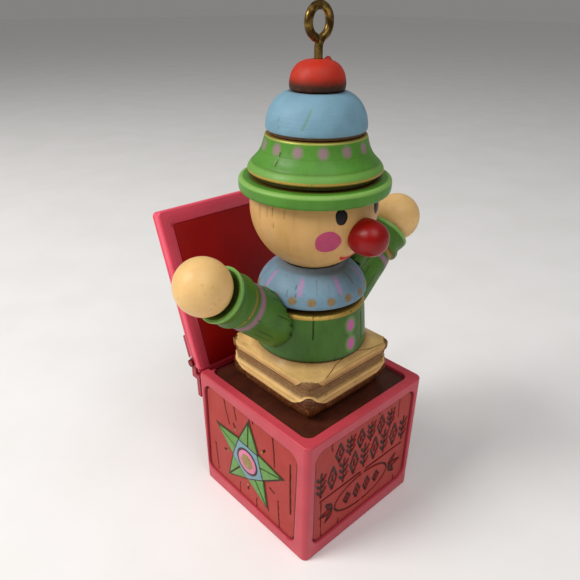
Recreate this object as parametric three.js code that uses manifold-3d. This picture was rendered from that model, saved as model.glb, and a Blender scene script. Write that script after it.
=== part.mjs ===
// Jack in the box: a small painted toy, hung by a screw eye or stood on its base.
// Millimetres, +Z up, origin at the centre of the base, the figure faces -Y.
// The box, the sprung jack, the turning head and the lid are separate groups of solids.

import * as THREE from "three";
import { mergeVertices } from "three/addons/utils/BufferGeometryUtils.js";
import Module from "manifold-3d";

const wasm = await Module();
wasm.setup();

// ---- Driving dimensions ----------------------------------------------------

const FIT = 0.15; // gap left between neighbouring pieces
const ROUND = 32; // sides of the large turned pieces
const SMALL_ROUND = 16; // sides of the dowels, pins and bores

const BOX = { width: 35, height: 31.7, corner: 1.4, cavity: 28.4, cavityCorner: 2.6 };
const RIM = { inner: 30.6, corner: 1.8, depth: 2.25 }; // seat of the deck under the box's rim
const DECK = { top: 31.0, thickness: 1.4, hole: 2.3 };
const BASE = { thickness: 1.5 };
const PANEL = { corner: 2.3, sunk: 0.5, thickness: 1.0, pocket: 1.6 };
// Each side's panel: angle round from the front, centre and size of its outline, its slight turn.
const SIDES = {
  front: { angle: 0, centre: [0.2, 16.3], size: [30.8, 25.9], turn: 0 },
  right: { angle: 90, centre: [0, 16.05], size: [30.6, 25.5], turn: 0 },
  rear: { angle: 180, centre: [0, 15.4], size: [30.6, 24.2], turn: 0 },
  left: { angle: 270, centre: [-0.8, 15.9], size: [30.2, 25.7], turn: -1.9 },
};
const REBATE = { front: 16.35, floor: 30.5 }; // step in the rear wall, which the lid's lower edge swings in

const LID = {
  lean: 17.3, y: 16.5, thickness: 2.7, bottom: 0.15, top: 35.3, corner: 1.0,
  rim: 1.7, slope: 1.9, slopeDepth: 0.65, pocket: 1.15, panelThickness: 0.42, panelBottom: 0.25,
  lipHalf: 17.1, lipBottom: -0.6, // lip along the lower edge, hanging into the rebate
  outerMargin: 2.6, outerBottom: 4.4, outerPocket: 0.7, outerThickness: 0.45,
  notchDepth: 1.4, notchTop: 3.35,
};
const HINGE = {
  y: 19.7, z: 32.5, radius: 1.15, bore: 0.66, pin: 0.55, head: 0.85,
  inner: 9.2, outer: 17.2, knuckleGap: 0.25, clearance: 0.3,
  pinOverhang: 0.7, headThickness: 0.6,
  leafThickness: 1.15, boxLeafBottom: 24, boxLeafTop: 29.7,
  neckBottom: 28.5, neckTop: 31.9, neckFront: 18.75, neckBack: 20.3,
  lidLeafBottom: 1.0, lidLeafTop: 8, lidNeckBottom: 0.6,
};

const BELLOWS = {
  bottom: 31.1, top: 41.75, bore: 7.5, chamferReach: 23.7,
  folds: [
    [31.1, 10.9], [33.0, 12.3], [36.2, 12.35], [37.0, 11.6],
    [38.4, 11.7], [39.0, 12.3], [40.6, 12.35], [41.75, 11.2],
  ],
};
const SPRING = { radius: 6.2, wire: 0.4, bottom: 31.65, top: 43.3, turns: 4.5 };
const DRUM = { bottom: 42, top: 51.8, bottomRadius: 11.4, topRadius: 10.55, recess: 7.7, recessTop: 44 };
const ROD = { radius: 2, bore: 2.15, bottom: 13, top: 47.6 };
const TUBE = { outer: 3.6, bottom: 18.3, flangeRadius: 6, flangeThickness: 1.2 };
const WASHER = { radius: 4.6, thickness: 1.2, gap: 0.3 };
const COLLAR = { bottom: 52.0, foot: 8.6, rimRadius: 10.8, rimBottom: 53.1 };
const NECK = { radius: 2.2, bore: 2.35, bottom: 48.4, top: 64 };

const ARM = { angle: 38, dowelRadius: 1.1, dowelBore: 1.25, dowelStart: 1.5, dowelEnd: 24.6 };
const HAND = { reach: 25.7, height: 61.4, radius: 5.1 };

const HEAD = { z: 70.1, radius: 11.9, top: 72.85 };
const NOSE = {
  z: 67.2, pegRadius: 1.2, pegBore: 1.35, pegEnd: -7.2,
  profile: [
    [0, 11.0], [2.75, 11.0], [3.08, 11.6], [3.22, 12.4], [3.25, 13.3], [3.12, 14.4],
    [2.75, 15.5], [2.1, 16.3],
    [1.2, 16.85], [0, 17.05],
  ], // [radius, distance in front of the axis]
};
const HAT_DOWEL = { radius: 1.8, bore: 1.95, bottom: 67, top: 81 };
const POMPOM_BASE = 89.55;
const EYE = {
  wire: 0.7, loop: 2.33, loopZ: 99.45, shankBottom: 86, turn: -1, bore: 0.85,
  first: 32, last: 340, // degrees round the loop, from straight down, where its arc starts and ends
  bendBottom: 1.2, bendTop: 0.1, // heights of the bend into the loop, below the loop's lowest point
  shankShare: 0.4, bendShare: 0.47, // shares of the path's steps up to the end of the shank and of the bend
};

const COLOURS = {
  pink: 0xd2495f, red: 0xb8403a, deepRed: 0x6c0000, deck: 0x3f1e12, cream: 0xd9b27a, wood: 0xc9a46e,
  green: 0x5f9a3d, darkGreen: 0x4c7a2b, blue: 0x86a9bd, scarlet: 0xc22a1c, brass: 0x8f7440, steel: 0x9a9a96,
};

// ---- Helpers ---------------------------------------------------------------

const radians = THREE.MathUtils.degToRad;

/** Manifold solid of a closed three.js geometry. */
function solid(geometry) {
  const bare = geometry.index ? geometry.toNonIndexed() : geometry.clone();
  bare.deleteAttribute("normal");
  bare.deleteAttribute("uv");
  const merged = mergeVertices(bare, 1e-5);
  const index = [];
  for (let i = 0; i < merged.index.count; i += 3) {
    const corners = [0, 1, 2].map((k) => merged.index.getX(i + k));
    if (new Set(corners).size === 3) index.push(...corners);
  }
  return new wasm.Manifold(new wasm.Mesh({
    numProp: 3,
    vertProperties: new Float32Array(merged.attributes.position.array),
    triVerts: new Uint32Array(index),
  }));
}

/** Three.js geometry of a Manifold solid. */
function geometryOf(body) {
  const mesh = body.getMesh();
  const geometry = new THREE.BufferGeometry();
  geometry.setAttribute("position", new THREE.BufferAttribute(new Float32Array(mesh.vertProperties), 3));
  geometry.setIndex(new THREE.BufferAttribute(new Uint32Array(mesh.triVerts), 1));
  geometry.computeVertexNormals();
  return geometry;
}

/** Solid turned about +Z from [radius, height] points. */
function turned(points, sides = ROUND) {
  const profile = points.map(([r, z]) => new THREE.Vector2(r, z));
  return solid(new THREE.LatheGeometry(profile, sides).rotateX(Math.PI / 2));
}

/** Upright round bar between two heights. */
function bar(radius, bottom, top, sides = SMALL_ROUND) {
  return turned([[0, bottom], [radius, bottom], [radius, top], [0, top]], sides);
}

/** Round bar lying along X. */
function barX(radius, left, right, y, z) {
  const geometry = new THREE.CylinderGeometry(radius, radius, right - left, SMALL_ROUND).rotateZ(Math.PI / 2);
  return solid(geometry.translate((left + right) / 2, y, z));
}

function block(x0, x1, y0, y1, z0, z1) {
  const geometry = new THREE.BoxGeometry(x1 - x0, y1 - y0, z1 - z0);
  return solid(geometry.translate((x0 + x1) / 2, (y0 + y1) / 2, (z0 + z1) / 2));
}

/** Rectangle with round corners, as a shape. */
function roundedRectangle(x0, x1, y0, y1, radius) {
  const shape = new THREE.Shape();
  shape.moveTo(x0 + radius, y0);
  shape.lineTo(x1 - radius, y0);
  shape.absarc(x1 - radius, y0 + radius, radius, -Math.PI / 2, 0, false);
  shape.lineTo(x1, y1 - radius);
  shape.absarc(x1 - radius, y1 - radius, radius, 0, Math.PI / 2, false);
  shape.lineTo(x0 + radius, y1);
  shape.absarc(x0 + radius, y1 - radius, radius, Math.PI / 2, Math.PI, false);
  shape.lineTo(x0, y0 + radius);
  shape.absarc(x0 + radius, y0 + radius, radius, Math.PI, Math.PI * 1.5, false);
  return shape;
}

/** Rounded slab from z0 to z1. */
function slab(x0, x1, y0, y1, z0, z1, radius) {
  const shape = roundedRectangle(x0, x1, y0, y1, radius);
  const options = { depth: z1 - z0, bevelEnabled: false, curveSegments: 4 };
  const geometry = new THREE.ExtrudeGeometry(shape, options);
  return solid(geometry.translate(0, 0, z0));
}

const squareSlab = (width, z0, z1, radius) =>
  slab(-width / 2, width / 2, -width / 2, width / 2, z0, z1, radius);

/** Named mesh of a solid. */
function piece(name, body, colour, roughness = 0.6, metalness = 0) {
  const material = new THREE.MeshStandardMaterial({ color: colour, roughness, metalness });
  const mesh = new THREE.Mesh(geometryOf(body), material);
  mesh.name = name;
  return mesh;
}

// ---- Box -------------------------------------------------------------------

const HALF = BOX.width / 2;

/** Slab of a side's panel outline, between two depths into the box. */
function sideSlab({ angle, centre, size, turn }, margin, nearDepth, farDepth) {
  const [across, up] = size.map((length) => length / 2 - margin);
  const shape = roundedRectangle(-across, across, -up, up, PANEL.corner - margin);
  const options = { depth: farDepth - nearDepth, bevelEnabled: false, curveSegments: 4 };
  const geometry = new THREE.ExtrudeGeometry(shape, options).rotateZ(radians(turn));
  geometry.translate(...centre, 0).rotateX(Math.PI / 2);
  geometry.translate(0, -HALF + farDepth, 0).rotateZ(radians(angle));
  return solid(geometry);
}

function boxShell() {
  let shell = squareSlab(BOX.width, 0, BOX.height, BOX.corner);
  shell = shell.subtract(squareSlab(BOX.cavity, -1, BOX.height + 1, BOX.cavityCorner));
  shell = shell.subtract(squareSlab(RIM.inner, BOX.height - RIM.depth, BOX.height + 1, RIM.corner));
  for (const side of Object.values(SIDES)) shell = shell.subtract(sideSlab(side, 0, -1, PANEL.pocket));
  return shell.subtract(block(-HALF - 1, HALF + 1, REBATE.front, HALF + 1, REBATE.floor, BOX.height + 1));
}

function sidePanel(side) {
  return sideSlab(side, FIT, PANEL.sunk, PANEL.sunk + PANEL.thickness);
}

function basePlate() {
  return squareSlab(BOX.cavity - 2 * FIT, 0, BASE.thickness, BOX.cavityCorner - FIT);
}

function deckPlate() {
  const plate = squareSlab(RIM.inner - 2 * FIT, DECK.top - DECK.thickness, DECK.top, RIM.corner - FIT);
  return plate.subtract(bar(DECK.hole, 0, BOX.height));
}

/** Tube under the deck that guides the rod, with a flange against the deck. */
function guideTube() {
  const top = DECK.top - DECK.thickness - FIT;
  const tube = bar(TUBE.outer, TUBE.bottom, top).add(
    bar(TUBE.flangeRadius, top - TUBE.flangeThickness, top),
  );
  return tube.subtract(bar(ROD.bore, 0, BOX.height));
}

// ---- Hinges ----------------------------------------------------------------

/** The three knuckles of one hinge: [left, right] along X, before mirroring. */
function knuckleSpans() {
  const pitch = (HINGE.outer - HINGE.inner) / 3;
  return [0, 1, 2].map((i) => {
    const left = HINGE.inner + i * pitch;
    return [left + (i ? HINGE.knuckleGap / 2 : 0), left + pitch - (i < 2 ? HINGE.knuckleGap / 2 : 0)];
  });
}

/** Spans of the knuckles that belong to the box (outer two) or to the lid (middle one). */
function ownSpans(sign, middle) {
  const spans = knuckleSpans().filter((_, i) => (i === 1) === middle);
  return spans.map(([a, b]) => (sign > 0 ? [a, b] : [-b, -a]));
}

/** Leaf with its knuckles joined and room cut for the other leaf's knuckles. */
function leafWithKnuckles(plate, sign, middle, y, z) {
  let leaf = plate;
  for (const [a, b] of ownSpans(sign, !middle)) {
    const reach = HINGE.knuckleGap;
    leaf = leaf.subtract(barX(HINGE.radius + HINGE.clearance, a - reach, b + reach, y, z));
  }
  for (const [a, b] of ownSpans(sign, middle)) leaf = leaf.add(barX(HINGE.radius, a, b, y, z));
  return leaf.subtract(barX(HINGE.bore, -HALF - 1, HALF + 1, y, z));
}

const leafX = (sign) => (sign > 0 ? [HINGE.inner, HINGE.outer] : [-HINGE.outer, -HINGE.inner]);

/** Plate on the rear wall, with a neck that steps back and up to each knuckle. */
function boxLeaf(sign) {
  const [x0, x1] = leafX(sign);
  const { neckBottom, neckTop, neckFront, neckBack, boxLeafTop } = HINGE;
  let plate = block(x0, x1, HALF, HALF + HINGE.leafThickness, HINGE.boxLeafBottom, boxLeafTop);
  for (const [a, b] of ownSpans(sign, false)) {
    plate = plate.add(block(a, b, HALF + 0.5, neckBack, neckBottom, boxLeafTop));
    plate = plate.add(block(a, b, neckFront, neckBack, neckBottom, neckTop));
  }
  return leafWithKnuckles(plate, sign, false, HINGE.y, HINGE.z);
}

function hingePin(sign) {
  const [x0, x1] = leafX(sign);
  const { pinOverhang: over, headThickness: head } = HINGE;
  const shank = barX(HINGE.pin, x0 - over, x1 + over, HINGE.y, HINGE.z);
  const heads = [[x0 - over, x0 - over + head], [x1 + over - head, x1 + over]];
  return heads.reduce((pin, [a, b]) => pin.add(barX(HINGE.head, a, b, HINGE.y, HINGE.z)), shank);
}

// ---- Lid, drawn in its own frame -------------------------------------------
// X across, Z up along the lid from the box's rear edge, Y back through its thickness.

const LEAN = radians(LID.lean);
const lidOrigin = { y: LID.y, z: BOX.height };
const lidAxis = {
  y: (HINGE.y - lidOrigin.y) * Math.cos(LEAN) - (HINGE.z - lidOrigin.z) * Math.sin(LEAN),
  z: (HINGE.y - lidOrigin.y) * Math.sin(LEAN) + (HINGE.z - lidOrigin.z) * Math.cos(LEAN),
};

/** Slab in the lid's plane: x and z limits, depth from y0 to y1. */
function lidSlab(x0, x1, z0, z1, y0, y1, radius) {
  const shape = roundedRectangle(x0, x1, z0, z1, radius);
  const options = { depth: y1 - y0, bevelEnabled: false, curveSegments: 4 };
  return solid(new THREE.ExtrudeGeometry(shape, options).rotateX(Math.PI / 2).translate(0, y1, 0));
}

const FIELD = HALF - LID.rim - LID.slope; // half width of the lid's inner field
const FIELD_CORNER = 0.6;
const OPEN_END = 4; // how far the field's cutters run past the hinge edge, which has no rim

/** Sloping wall round the lid's inner field, as a cutter. */
function lidSlopeCutter() {
  const field = roundedRectangle(-FIELD, FIELD, -OPEN_END, LID.top - HALF + FIELD, FIELD_CORNER);
  const geometry = new THREE.ExtrudeGeometry(field, {
    depth: 1, bevelThickness: LID.slopeDepth, bevelSize: LID.slope, bevelSegments: 1, curveSegments: 3,
  });
  return solid(geometry.rotateX(Math.PI / 2));
}

/** Field of the lid's outer side, from y0 to y1. */
function outerField(margin, y0, y1) {
  const side = HALF - LID.outerMargin - margin;
  const bottom = LID.outerBottom + margin;
  const top = LID.top - LID.outerMargin - margin;
  return lidSlab(-side, side, bottom, top, y0, y1, PANEL.corner - margin);
}

function lidShell() {
  let shell = lidSlab(-HALF, HALF, LID.bottom, LID.top, 0, LID.thickness, LID.corner);
  shell = shell.subtract(lidSlopeCutter());
  shell = shell.subtract(
    lidSlab(-FIELD, FIELD, -OPEN_END, LID.top - HALF + FIELD, -1, LID.pocket, FIELD_CORNER),
  );
  shell = shell.subtract(outerField(0, LID.thickness - LID.outerPocket, LID.thickness + 1));
  const lipTop = LID.bottom + LID.corner;
  shell = shell.add(block(-LID.lipHalf, LID.lipHalf, LID.pocket, LID.thickness, LID.lipBottom, lipTop));
  for (const sign of [-1, 1]) {
    const [x0, x1] = leafX(sign);
    const reach = HINGE.clearance + HINGE.pinOverhang;
    const notch = block(x0 - reach, x1 + reach, LID.notchDepth, LID.thickness + 1, -1, LID.notchTop);
    shell = shell.subtract(notch);
  }
  return shell;
}

function lidInnerPanel() {
  const side = FIELD - FIT;
  const back = LID.pocket - FIT / 2;
  const top = LID.top - HALF + side;
  return lidSlab(-side, side, LID.panelBottom, top, back - LID.panelThickness, back, FIELD_CORNER - FIT);
}

function lidOuterPanel() {
  const front = LID.thickness - LID.outerPocket + FIT / 2;
  return outerField(FIT, front, front + LID.outerThickness);
}

/** Plate on the lid's back, with a neck down to its knuckle. */
function lidLeaf(sign) {
  const [x0, x1] = leafX(sign);
  const front = LID.thickness + FIT;
  const back = front + HINGE.leafThickness;
  let plate = block(x0, x1, front, back, lidAxis.z + HINGE.lidLeafBottom, HINGE.lidLeafTop);
  const [neckBottom, neckTop] = [lidAxis.z - HINGE.lidNeckBottom, lidAxis.z + HINGE.lidLeafBottom];
  for (const [a, b] of ownSpans(sign, true)) {
    plate = plate.add(block(a, b, lidAxis.y, back, neckBottom, neckTop));
  }
  return leafWithKnuckles(plate, sign, true, lidAxis.y, lidAxis.z);
}

// ---- Jack ------------------------------------------------------------------

/** Square frustum between two heights, with its flats facing X and Y. */
function frustum(z0, half0, z1, half1) {
  const geometry = new THREE.CylinderGeometry(half1 * Math.SQRT2, half0 * Math.SQRT2, z1 - z0, 4);
  return solid(geometry.rotateX(Math.PI / 2).rotateZ(Math.PI / 4).translate(0, 0, (z0 + z1) / 2));
}

/** Folded bellows: stacked frustums with chamfered corners and a bore for the spring. */
function bellows() {
  const { folds, bore, chamferReach, bottom, top } = BELLOWS;
  let body = frustum(...folds[0], ...folds[1]);
  for (let i = 1; i < folds.length - 1; i += 1) body = body.add(frustum(...folds[i], ...folds[i + 1]));
  const chamfer = new THREE.CylinderGeometry(chamferReach, chamferReach, top - bottom + 2, 4);
  body = body.intersect(solid(chamfer.rotateX(Math.PI / 2).translate(0, 0, (top + bottom) / 2)));
  return body.subtract(bar(bore, bottom - 1, top + 1));
}

class Helix extends THREE.Curve {
  getPoint(t) {
    const angle = t * SPRING.turns * Math.PI * 2;
    const height = THREE.MathUtils.lerp(SPRING.bottom, SPRING.top, t);
    return new THREE.Vector3(SPRING.radius * Math.cos(angle), SPRING.radius * Math.sin(angle), height);
  }
}

/** Round wire swept along a path; a full arc gets two sides for each curve segment. */
function wire(path, radius, steps, curveSegments) {
  const section = new THREE.Shape();
  section.absarc(0, 0, radius, 0, Math.PI * 2, false);
  const options = { extrudePath: path, steps, bevelEnabled: false, curveSegments };
  return solid(new THREE.ExtrudeGeometry(section, options));
}

function coilSpring() {
  return wire(new Helix(), SPRING.wire, Math.round(SPRING.turns * 14), 3);
}

function guideRod() {
  return bar(ROD.radius, ROD.bottom, ROD.top);
}

function stopWasher() {
  const top = TUBE.bottom - WASHER.gap;
  return bar(WASHER.radius, top - WASHER.thickness, top).subtract(bar(ROD.bore, 0, BOX.height));
}

/** Drum radius at a height. */
function drumRadius(z) {
  const share = (z - DRUM.bottom) / (DRUM.top - DRUM.bottom);
  return THREE.MathUtils.lerp(DRUM.bottomRadius, DRUM.topRadius, share);
}

function bodyDrum() {
  const { bottom, top, bottomRadius, topRadius } = DRUM;
  const edge = 0.5;
  let drum = turned([
    [0, bottom], [bottomRadius - edge, bottom], [bottomRadius, bottom + edge],
    [drumRadius(top - edge), top - edge], [topRadius - edge, top], [0, top],
  ]);
  drum = drum.subtract(bar(DRUM.recess, bottom - 1, DRUM.recessTop));
  drum = drum.subtract(bar(ROD.bore, bottom, ROD.top + FIT));
  drum = drum.subtract(bar(NECK.bore, NECK.bottom - FIT, top + 1));
  for (const sign of [-1, 1]) {
    drum = drum.subtract(alongArm(sign, bar(ARM.dowelBore, 0, ARM.dowelEnd + FIT)));
  }
  return drum;
}

/** Ball of the head, grown by a margin. */
function headSphere(margin) {
  const ball = new THREE.SphereGeometry(HEAD.radius + margin, ROUND, 18).rotateX(Math.PI / 2);
  return solid(ball.translate(0, 0, HEAD.z));
}

function collar() {
  const { bottom, foot, rimRadius, rimBottom } = COLLAR;
  const dome = turned([
    [0, bottom], [foot, bottom], [foot + 0.6, rimBottom - 0.2], [rimRadius - 0.5, rimBottom],
    [rimRadius, rimBottom + 0.5], [rimRadius - 0.1, rimBottom + 1.2], [10.3, 55.5], [9.5, 56.7],
    [8.4, 57.8], [7.2, 58.5], [5.8, 58.9], [0, 58.9],
  ]);
  return dome.subtract(headSphere(2 * FIT)).subtract(bar(NECK.bore, 0, HEAD.z));
}

function neckPeg() {
  return bar(NECK.radius, NECK.bottom, NECK.top);
}

// ---- Arms, drawn along +Z from the hand's centre towards the shoulder -------

/** Places a solid drawn along +Z on the arm's axis: +1 is the arm at +X. */
function alongArm(sign, body) {
  const fromHand = new THREE.Vector3(-sign * Math.cos(radians(ARM.angle)), 0, -Math.sin(radians(ARM.angle)));
  const turn = new THREE.Quaternion().setFromUnitVectors(new THREE.Vector3(0, 0, 1), fromHand);
  const hand = new THREE.Vector3(sign * HAND.reach, 0, HAND.height);
  const matrix = new THREE.Matrix4().compose(hand, turn, new THREE.Vector3(1, 1, 1));
  return body.transform(matrix.elements.slice());
}

/** Room that the drum and the collar take, which the sleeves are cut to. */
function torso() {
  const [foot, waist, rim] = [DRUM.bottomRadius, DRUM.topRadius, COLLAR.rimRadius].map((r) => r + 2 * FIT);
  const [low, step] = [DRUM.bottom - 3, DRUM.top + 0.4];
  return turned([
    [0, low], [foot, low], [foot, DRUM.bottom], [waist, DRUM.top], [rim, step], [rim, HEAD.z], [0, HEAD.z],
  ]);
}

/** Sleeve with a flared cuff that cups the hand, coped to the drum. */
function sleeve(sign) {
  const bore = ARM.dowelBore;
  const profile = [
    [bore, 5.5], [3.9, 5.5], [4.6, 4.2], [4.8, 3.85], [5.15, 3.9], [5.2, 4.3], [4.8, 5.6], [4.75, 6.3],
    [5.05, 7.2], [5.05, 8.0], [4.6, 8.35], [4.2, 8.45], [4.2, 9.3], [4.45, 9.5], [4.75, 13], [5.05, 20],
    [5.1, 27], [bore, 27], [bore, 5.5],
  ];
  return alongArm(sign, turned(profile, 24)).subtract(torso());
}

function hand(sign) {
  const ball = solid(new THREE.SphereGeometry(HAND.radius, 24, 12).rotateX(Math.PI / 2));
  return alongArm(sign, ball.subtract(bar(ARM.dowelBore, ARM.dowelStart - FIT, HAND.radius + 1)));
}

function armDowel(sign) {
  return alongArm(sign, bar(ARM.dowelRadius, ARM.dowelStart, ARM.dowelEnd));
}

// ---- Head and hat ----------------------------------------------------------

function noseBore() {
  const length = HEAD.radius - Math.abs(NOSE.pegEnd) + 1 + FIT;
  const geometry = new THREE.CylinderGeometry(NOSE.pegBore, NOSE.pegBore, length, SMALL_ROUND);
  return solid(geometry.translate(0, NOSE.pegEnd + FIT - length / 2, NOSE.z));
}

function headBall() {
  const far = 2 * HEAD.radius;
  let ball = headSphere(0).subtract(block(-far, far, -far, far, HEAD.top, HEAD.z + far));
  ball = ball.subtract(bar(NECK.bore, HEAD.z - far, NECK.top + FIT));
  ball = ball.subtract(bar(HAT_DOWEL.bore, HAT_DOWEL.bottom - FIT, HEAD.z + far));
  return ball.subtract(noseBore());
}

function nose() {
  const forward = (body) => body.rotate([90, 0, 0]).translate([0, 0, NOSE.z]);
  const bead = forward(turned(NOSE.profile, 20)).subtract(headSphere(FIT));
  return bead.add(forward(bar(NOSE.pegRadius, -NOSE.pegEnd, HEAD.radius + 1)));
}

function hatBrim() {
  const disc = turned([
    [0, 73.0], [13.3, 73.0], [13.7, 73.3], [13.8, 73.8], [13.8, 74.8], [13.6, 75.25], [13.1, 75.5], [0, 75.5],
  ]);
  return disc.subtract(bar(HAT_DOWEL.bore, 70, 80));
}

function hatFlare() {
  const bell = turned([
    [0, 75.65], [11.2, 75.65], [11.2, 76.35], [11.9, 76.5], [12.15, 76.8], [12.1, 77.2], [11.7, 77.8],
    [10.9, 78.5], [10.1, 79.4], [9.5, 80.5], [9.15, 81.6], [8.95, 82.6], [8.7, 82.75], [0, 82.75],
  ]);
  return bell.subtract(bar(HAT_DOWEL.bore, 70, HAT_DOWEL.top + FIT));
}

function hatDome() {
  const dome = turned([
    [0, 82.9], [8.4, 82.9], [8.4, 83.3], [8.8, 83.4], [8.85, 84.2], [8.6, 85.6], [8.0, 87.0], [7.1, 88.2],
    [6.0, 89.0], [5.0, 89.4], [0, 89.4],
  ]);
  return dome.subtract(bar(EYE.bore, EYE.shankBottom - FIT, 100));
}

function pompom() {
  const ball = turned([
    [0, POMPOM_BASE], [4.65, POMPOM_BASE], [4.75, 90.1], [4.75, 91.0], [4.4, 92.3], [3.6, 93.4], [2.2, 94.05],
    [0, 94.25],
  ], 24);
  return ball.subtract(bar(EYE.bore, 80, 100));
}

function hatDowel() {
  return bar(HAT_DOWEL.radius, HAT_DOWEL.bottom, HAT_DOWEL.top);
}

/** Path of the screw eye: up the shank, then almost once round the loop. */
class EyePath extends THREE.Curve {
  getPoint(t) {
    const neck = EYE.loopZ - EYE.loop;
    const { shankShare, bendShare } = EYE;
    const onAxis = (height) => new THREE.Vector3(0, 0, height);
    const round = (degrees) => new THREE.Vector3(
      EYE.loop * Math.sin(radians(degrees)), 0, EYE.loopZ - EYE.loop * Math.cos(radians(degrees)),
    );
    if (t < shankShare) {
      return onAxis(THREE.MathUtils.lerp(EYE.shankBottom, neck - EYE.bendBottom, t / shankShare));
    }
    if (t < bendShare) {
      const curve = new THREE.QuadraticBezierCurve3(
        onAxis(neck - EYE.bendBottom), onAxis(neck - EYE.bendTop), round(EYE.first),
      );
      return curve.getPoint((t - shankShare) / (bendShare - shankShare));
    }
    return round(THREE.MathUtils.lerp(EYE.first, EYE.last, (t - bendShare) / (1 - bendShare)));
  }
}

function screwEye() {
  return wire(new EyePath(), EYE.wire, 36, 4);
}

// ---- Assembly --------------------------------------------------------------

const group = new THREE.Group();

const box = new THREE.Group();
box.add(piece("box_shell", boxShell(), COLOURS.pink, 0.45));
for (const [name, side] of Object.entries(SIDES)) {
  box.add(piece(`${name}_panel`, sidePanel(side), COLOURS.red, 0.5));
}
box.add(piece("base_plate", basePlate(), COLOURS.pink, 0.6));
box.add(piece("deck_plate", deckPlate(), COLOURS.deck, 0.7));
box.add(piece("guide_tube", guideTube(), COLOURS.wood, 0.7));

const lid = new THREE.Group();
lid.position.set(0, lidOrigin.y, lidOrigin.z);
lid.rotation.x = -LEAN;
lid.add(piece("lid_shell", lidShell(), COLOURS.pink, 0.45));
lid.add(piece("lid_inner_panel", lidInnerPanel(), COLOURS.deepRed, 0.5));
lid.add(piece("lid_outer_panel", lidOuterPanel(), COLOURS.red, 0.5));

for (const [side, sign] of [["left", -1], ["right", 1]]) {
  box.add(piece(`hinge_leaf_box_${side}`, boxLeaf(sign), COLOURS.pink, 0.5));
  box.add(piece(`hinge_pin_${side}`, hingePin(sign), COLOURS.brass, 0.35, 1));
  lid.add(piece(`hinge_leaf_lid_${side}`, lidLeaf(sign), COLOURS.pink, 0.5));
}

const jack = new THREE.Group();
jack.add(piece("bellows", bellows(), COLOURS.cream, 0.6));
jack.add(piece("coil_spring", coilSpring(), COLOURS.steel, 0.3, 1));
jack.add(piece("guide_rod", guideRod(), COLOURS.wood, 0.7));
jack.add(piece("stop_washer", stopWasher(), COLOURS.wood, 0.7));
jack.add(piece("body_drum", bodyDrum(), COLOURS.darkGreen, 0.45));
jack.add(piece("collar", collar(), COLOURS.blue, 0.55));
jack.add(piece("neck_peg", neckPeg(), COLOURS.wood, 0.7));
for (const [side, sign] of [["right", -1], ["left", 1]]) {
  jack.add(piece(`sleeve_${side}`, sleeve(sign), COLOURS.green, 0.45));
  jack.add(piece(`hand_${side}`, hand(sign), COLOURS.cream, 0.4));
  jack.add(piece(`arm_dowel_${side}`, armDowel(sign), COLOURS.wood, 0.7));
}

const head = new THREE.Group();
head.add(piece("head_ball", headBall(), COLOURS.wood, 0.45));
head.add(piece("nose", nose(), COLOURS.scarlet, 0.25));
head.add(piece("hat_brim", hatBrim(), COLOURS.green, 0.45));
head.add(piece("hat_flare", hatFlare(), COLOURS.green, 0.45));
head.add(piece("hat_dome", hatDome(), COLOURS.blue, 0.55));
head.add(piece("pompom", pompom(), COLOURS.scarlet, 0.5));
head.add(piece("hat_dowel", hatDowel(), COLOURS.wood, 0.7));
const eye = piece("screw_eye", screwEye(), COLOURS.brass, 0.3, 1);
eye.rotation.z = radians(EYE.turn);
head.add(eye);

group.add(box, lid, jack, head);

export default group;
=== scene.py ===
import math

import bmesh
import bpy
import numpy as np
from mathutils import Matrix, Vector


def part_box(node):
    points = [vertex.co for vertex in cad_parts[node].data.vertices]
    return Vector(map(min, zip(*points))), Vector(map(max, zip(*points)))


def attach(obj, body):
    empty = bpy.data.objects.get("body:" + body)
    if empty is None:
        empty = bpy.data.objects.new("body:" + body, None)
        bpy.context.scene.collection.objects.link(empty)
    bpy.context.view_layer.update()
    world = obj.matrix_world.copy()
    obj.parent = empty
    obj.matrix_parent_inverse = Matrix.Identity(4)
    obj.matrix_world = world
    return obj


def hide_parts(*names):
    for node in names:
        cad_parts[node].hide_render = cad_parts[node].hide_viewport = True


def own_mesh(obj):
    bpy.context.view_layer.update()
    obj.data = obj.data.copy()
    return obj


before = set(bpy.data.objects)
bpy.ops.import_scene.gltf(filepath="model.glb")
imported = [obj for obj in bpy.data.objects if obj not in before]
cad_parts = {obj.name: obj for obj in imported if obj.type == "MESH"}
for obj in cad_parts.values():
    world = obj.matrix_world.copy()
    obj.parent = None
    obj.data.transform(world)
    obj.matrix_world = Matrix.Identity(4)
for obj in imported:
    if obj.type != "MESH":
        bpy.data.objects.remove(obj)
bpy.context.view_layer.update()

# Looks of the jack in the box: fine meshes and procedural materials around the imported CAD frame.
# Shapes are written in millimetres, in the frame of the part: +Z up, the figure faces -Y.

MM = 0.001
rng = np.random.default_rng(1977)


# ---- Numbers ---------------------------------------------------------------

def span(node, axis):
    """Lowest and highest value of a CAD node along an axis, in mm."""
    low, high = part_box(node)
    return low["xyz".index(axis)] / MM, high["xyz".index(axis)] / MM


def smooth(x):
    x = np.clip(x, 0, 1)
    return x * x * (3 - 2 * x)


def band(x, low, high, soft):
    """1 between low and high, 0 outside, with soft edges."""
    return smooth((x - low) / soft + 0.5) * smooth((high - x) / soft + 0.5)


def wrapped(x, period=2 * math.pi):
    """x moved by whole periods to within half a period of 0."""
    return (x + period / 2) % period - period / 2


def strongest(*layers):
    """The largest of several layers at each point, kept from 0 to 1."""
    return np.clip(np.maximum.reduce(layers), 0, 1)


def rgb(red, green, blue):
    """Linear colour of an sRGB one given from 0 to 255."""
    def linear(value):
        value /= 255
        return value / 12.92 if value <= 0.04045 else ((value + 0.055) / 1.055) ** 2.4

    return (linear(red), linear(green), linear(blue), 1.0)


def shaded(colour, share):
    return tuple(min(1.0, c * share) for c in colour[:3]) + (1.0,)


# ---- Outlines --------------------------------------------------------------

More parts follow.
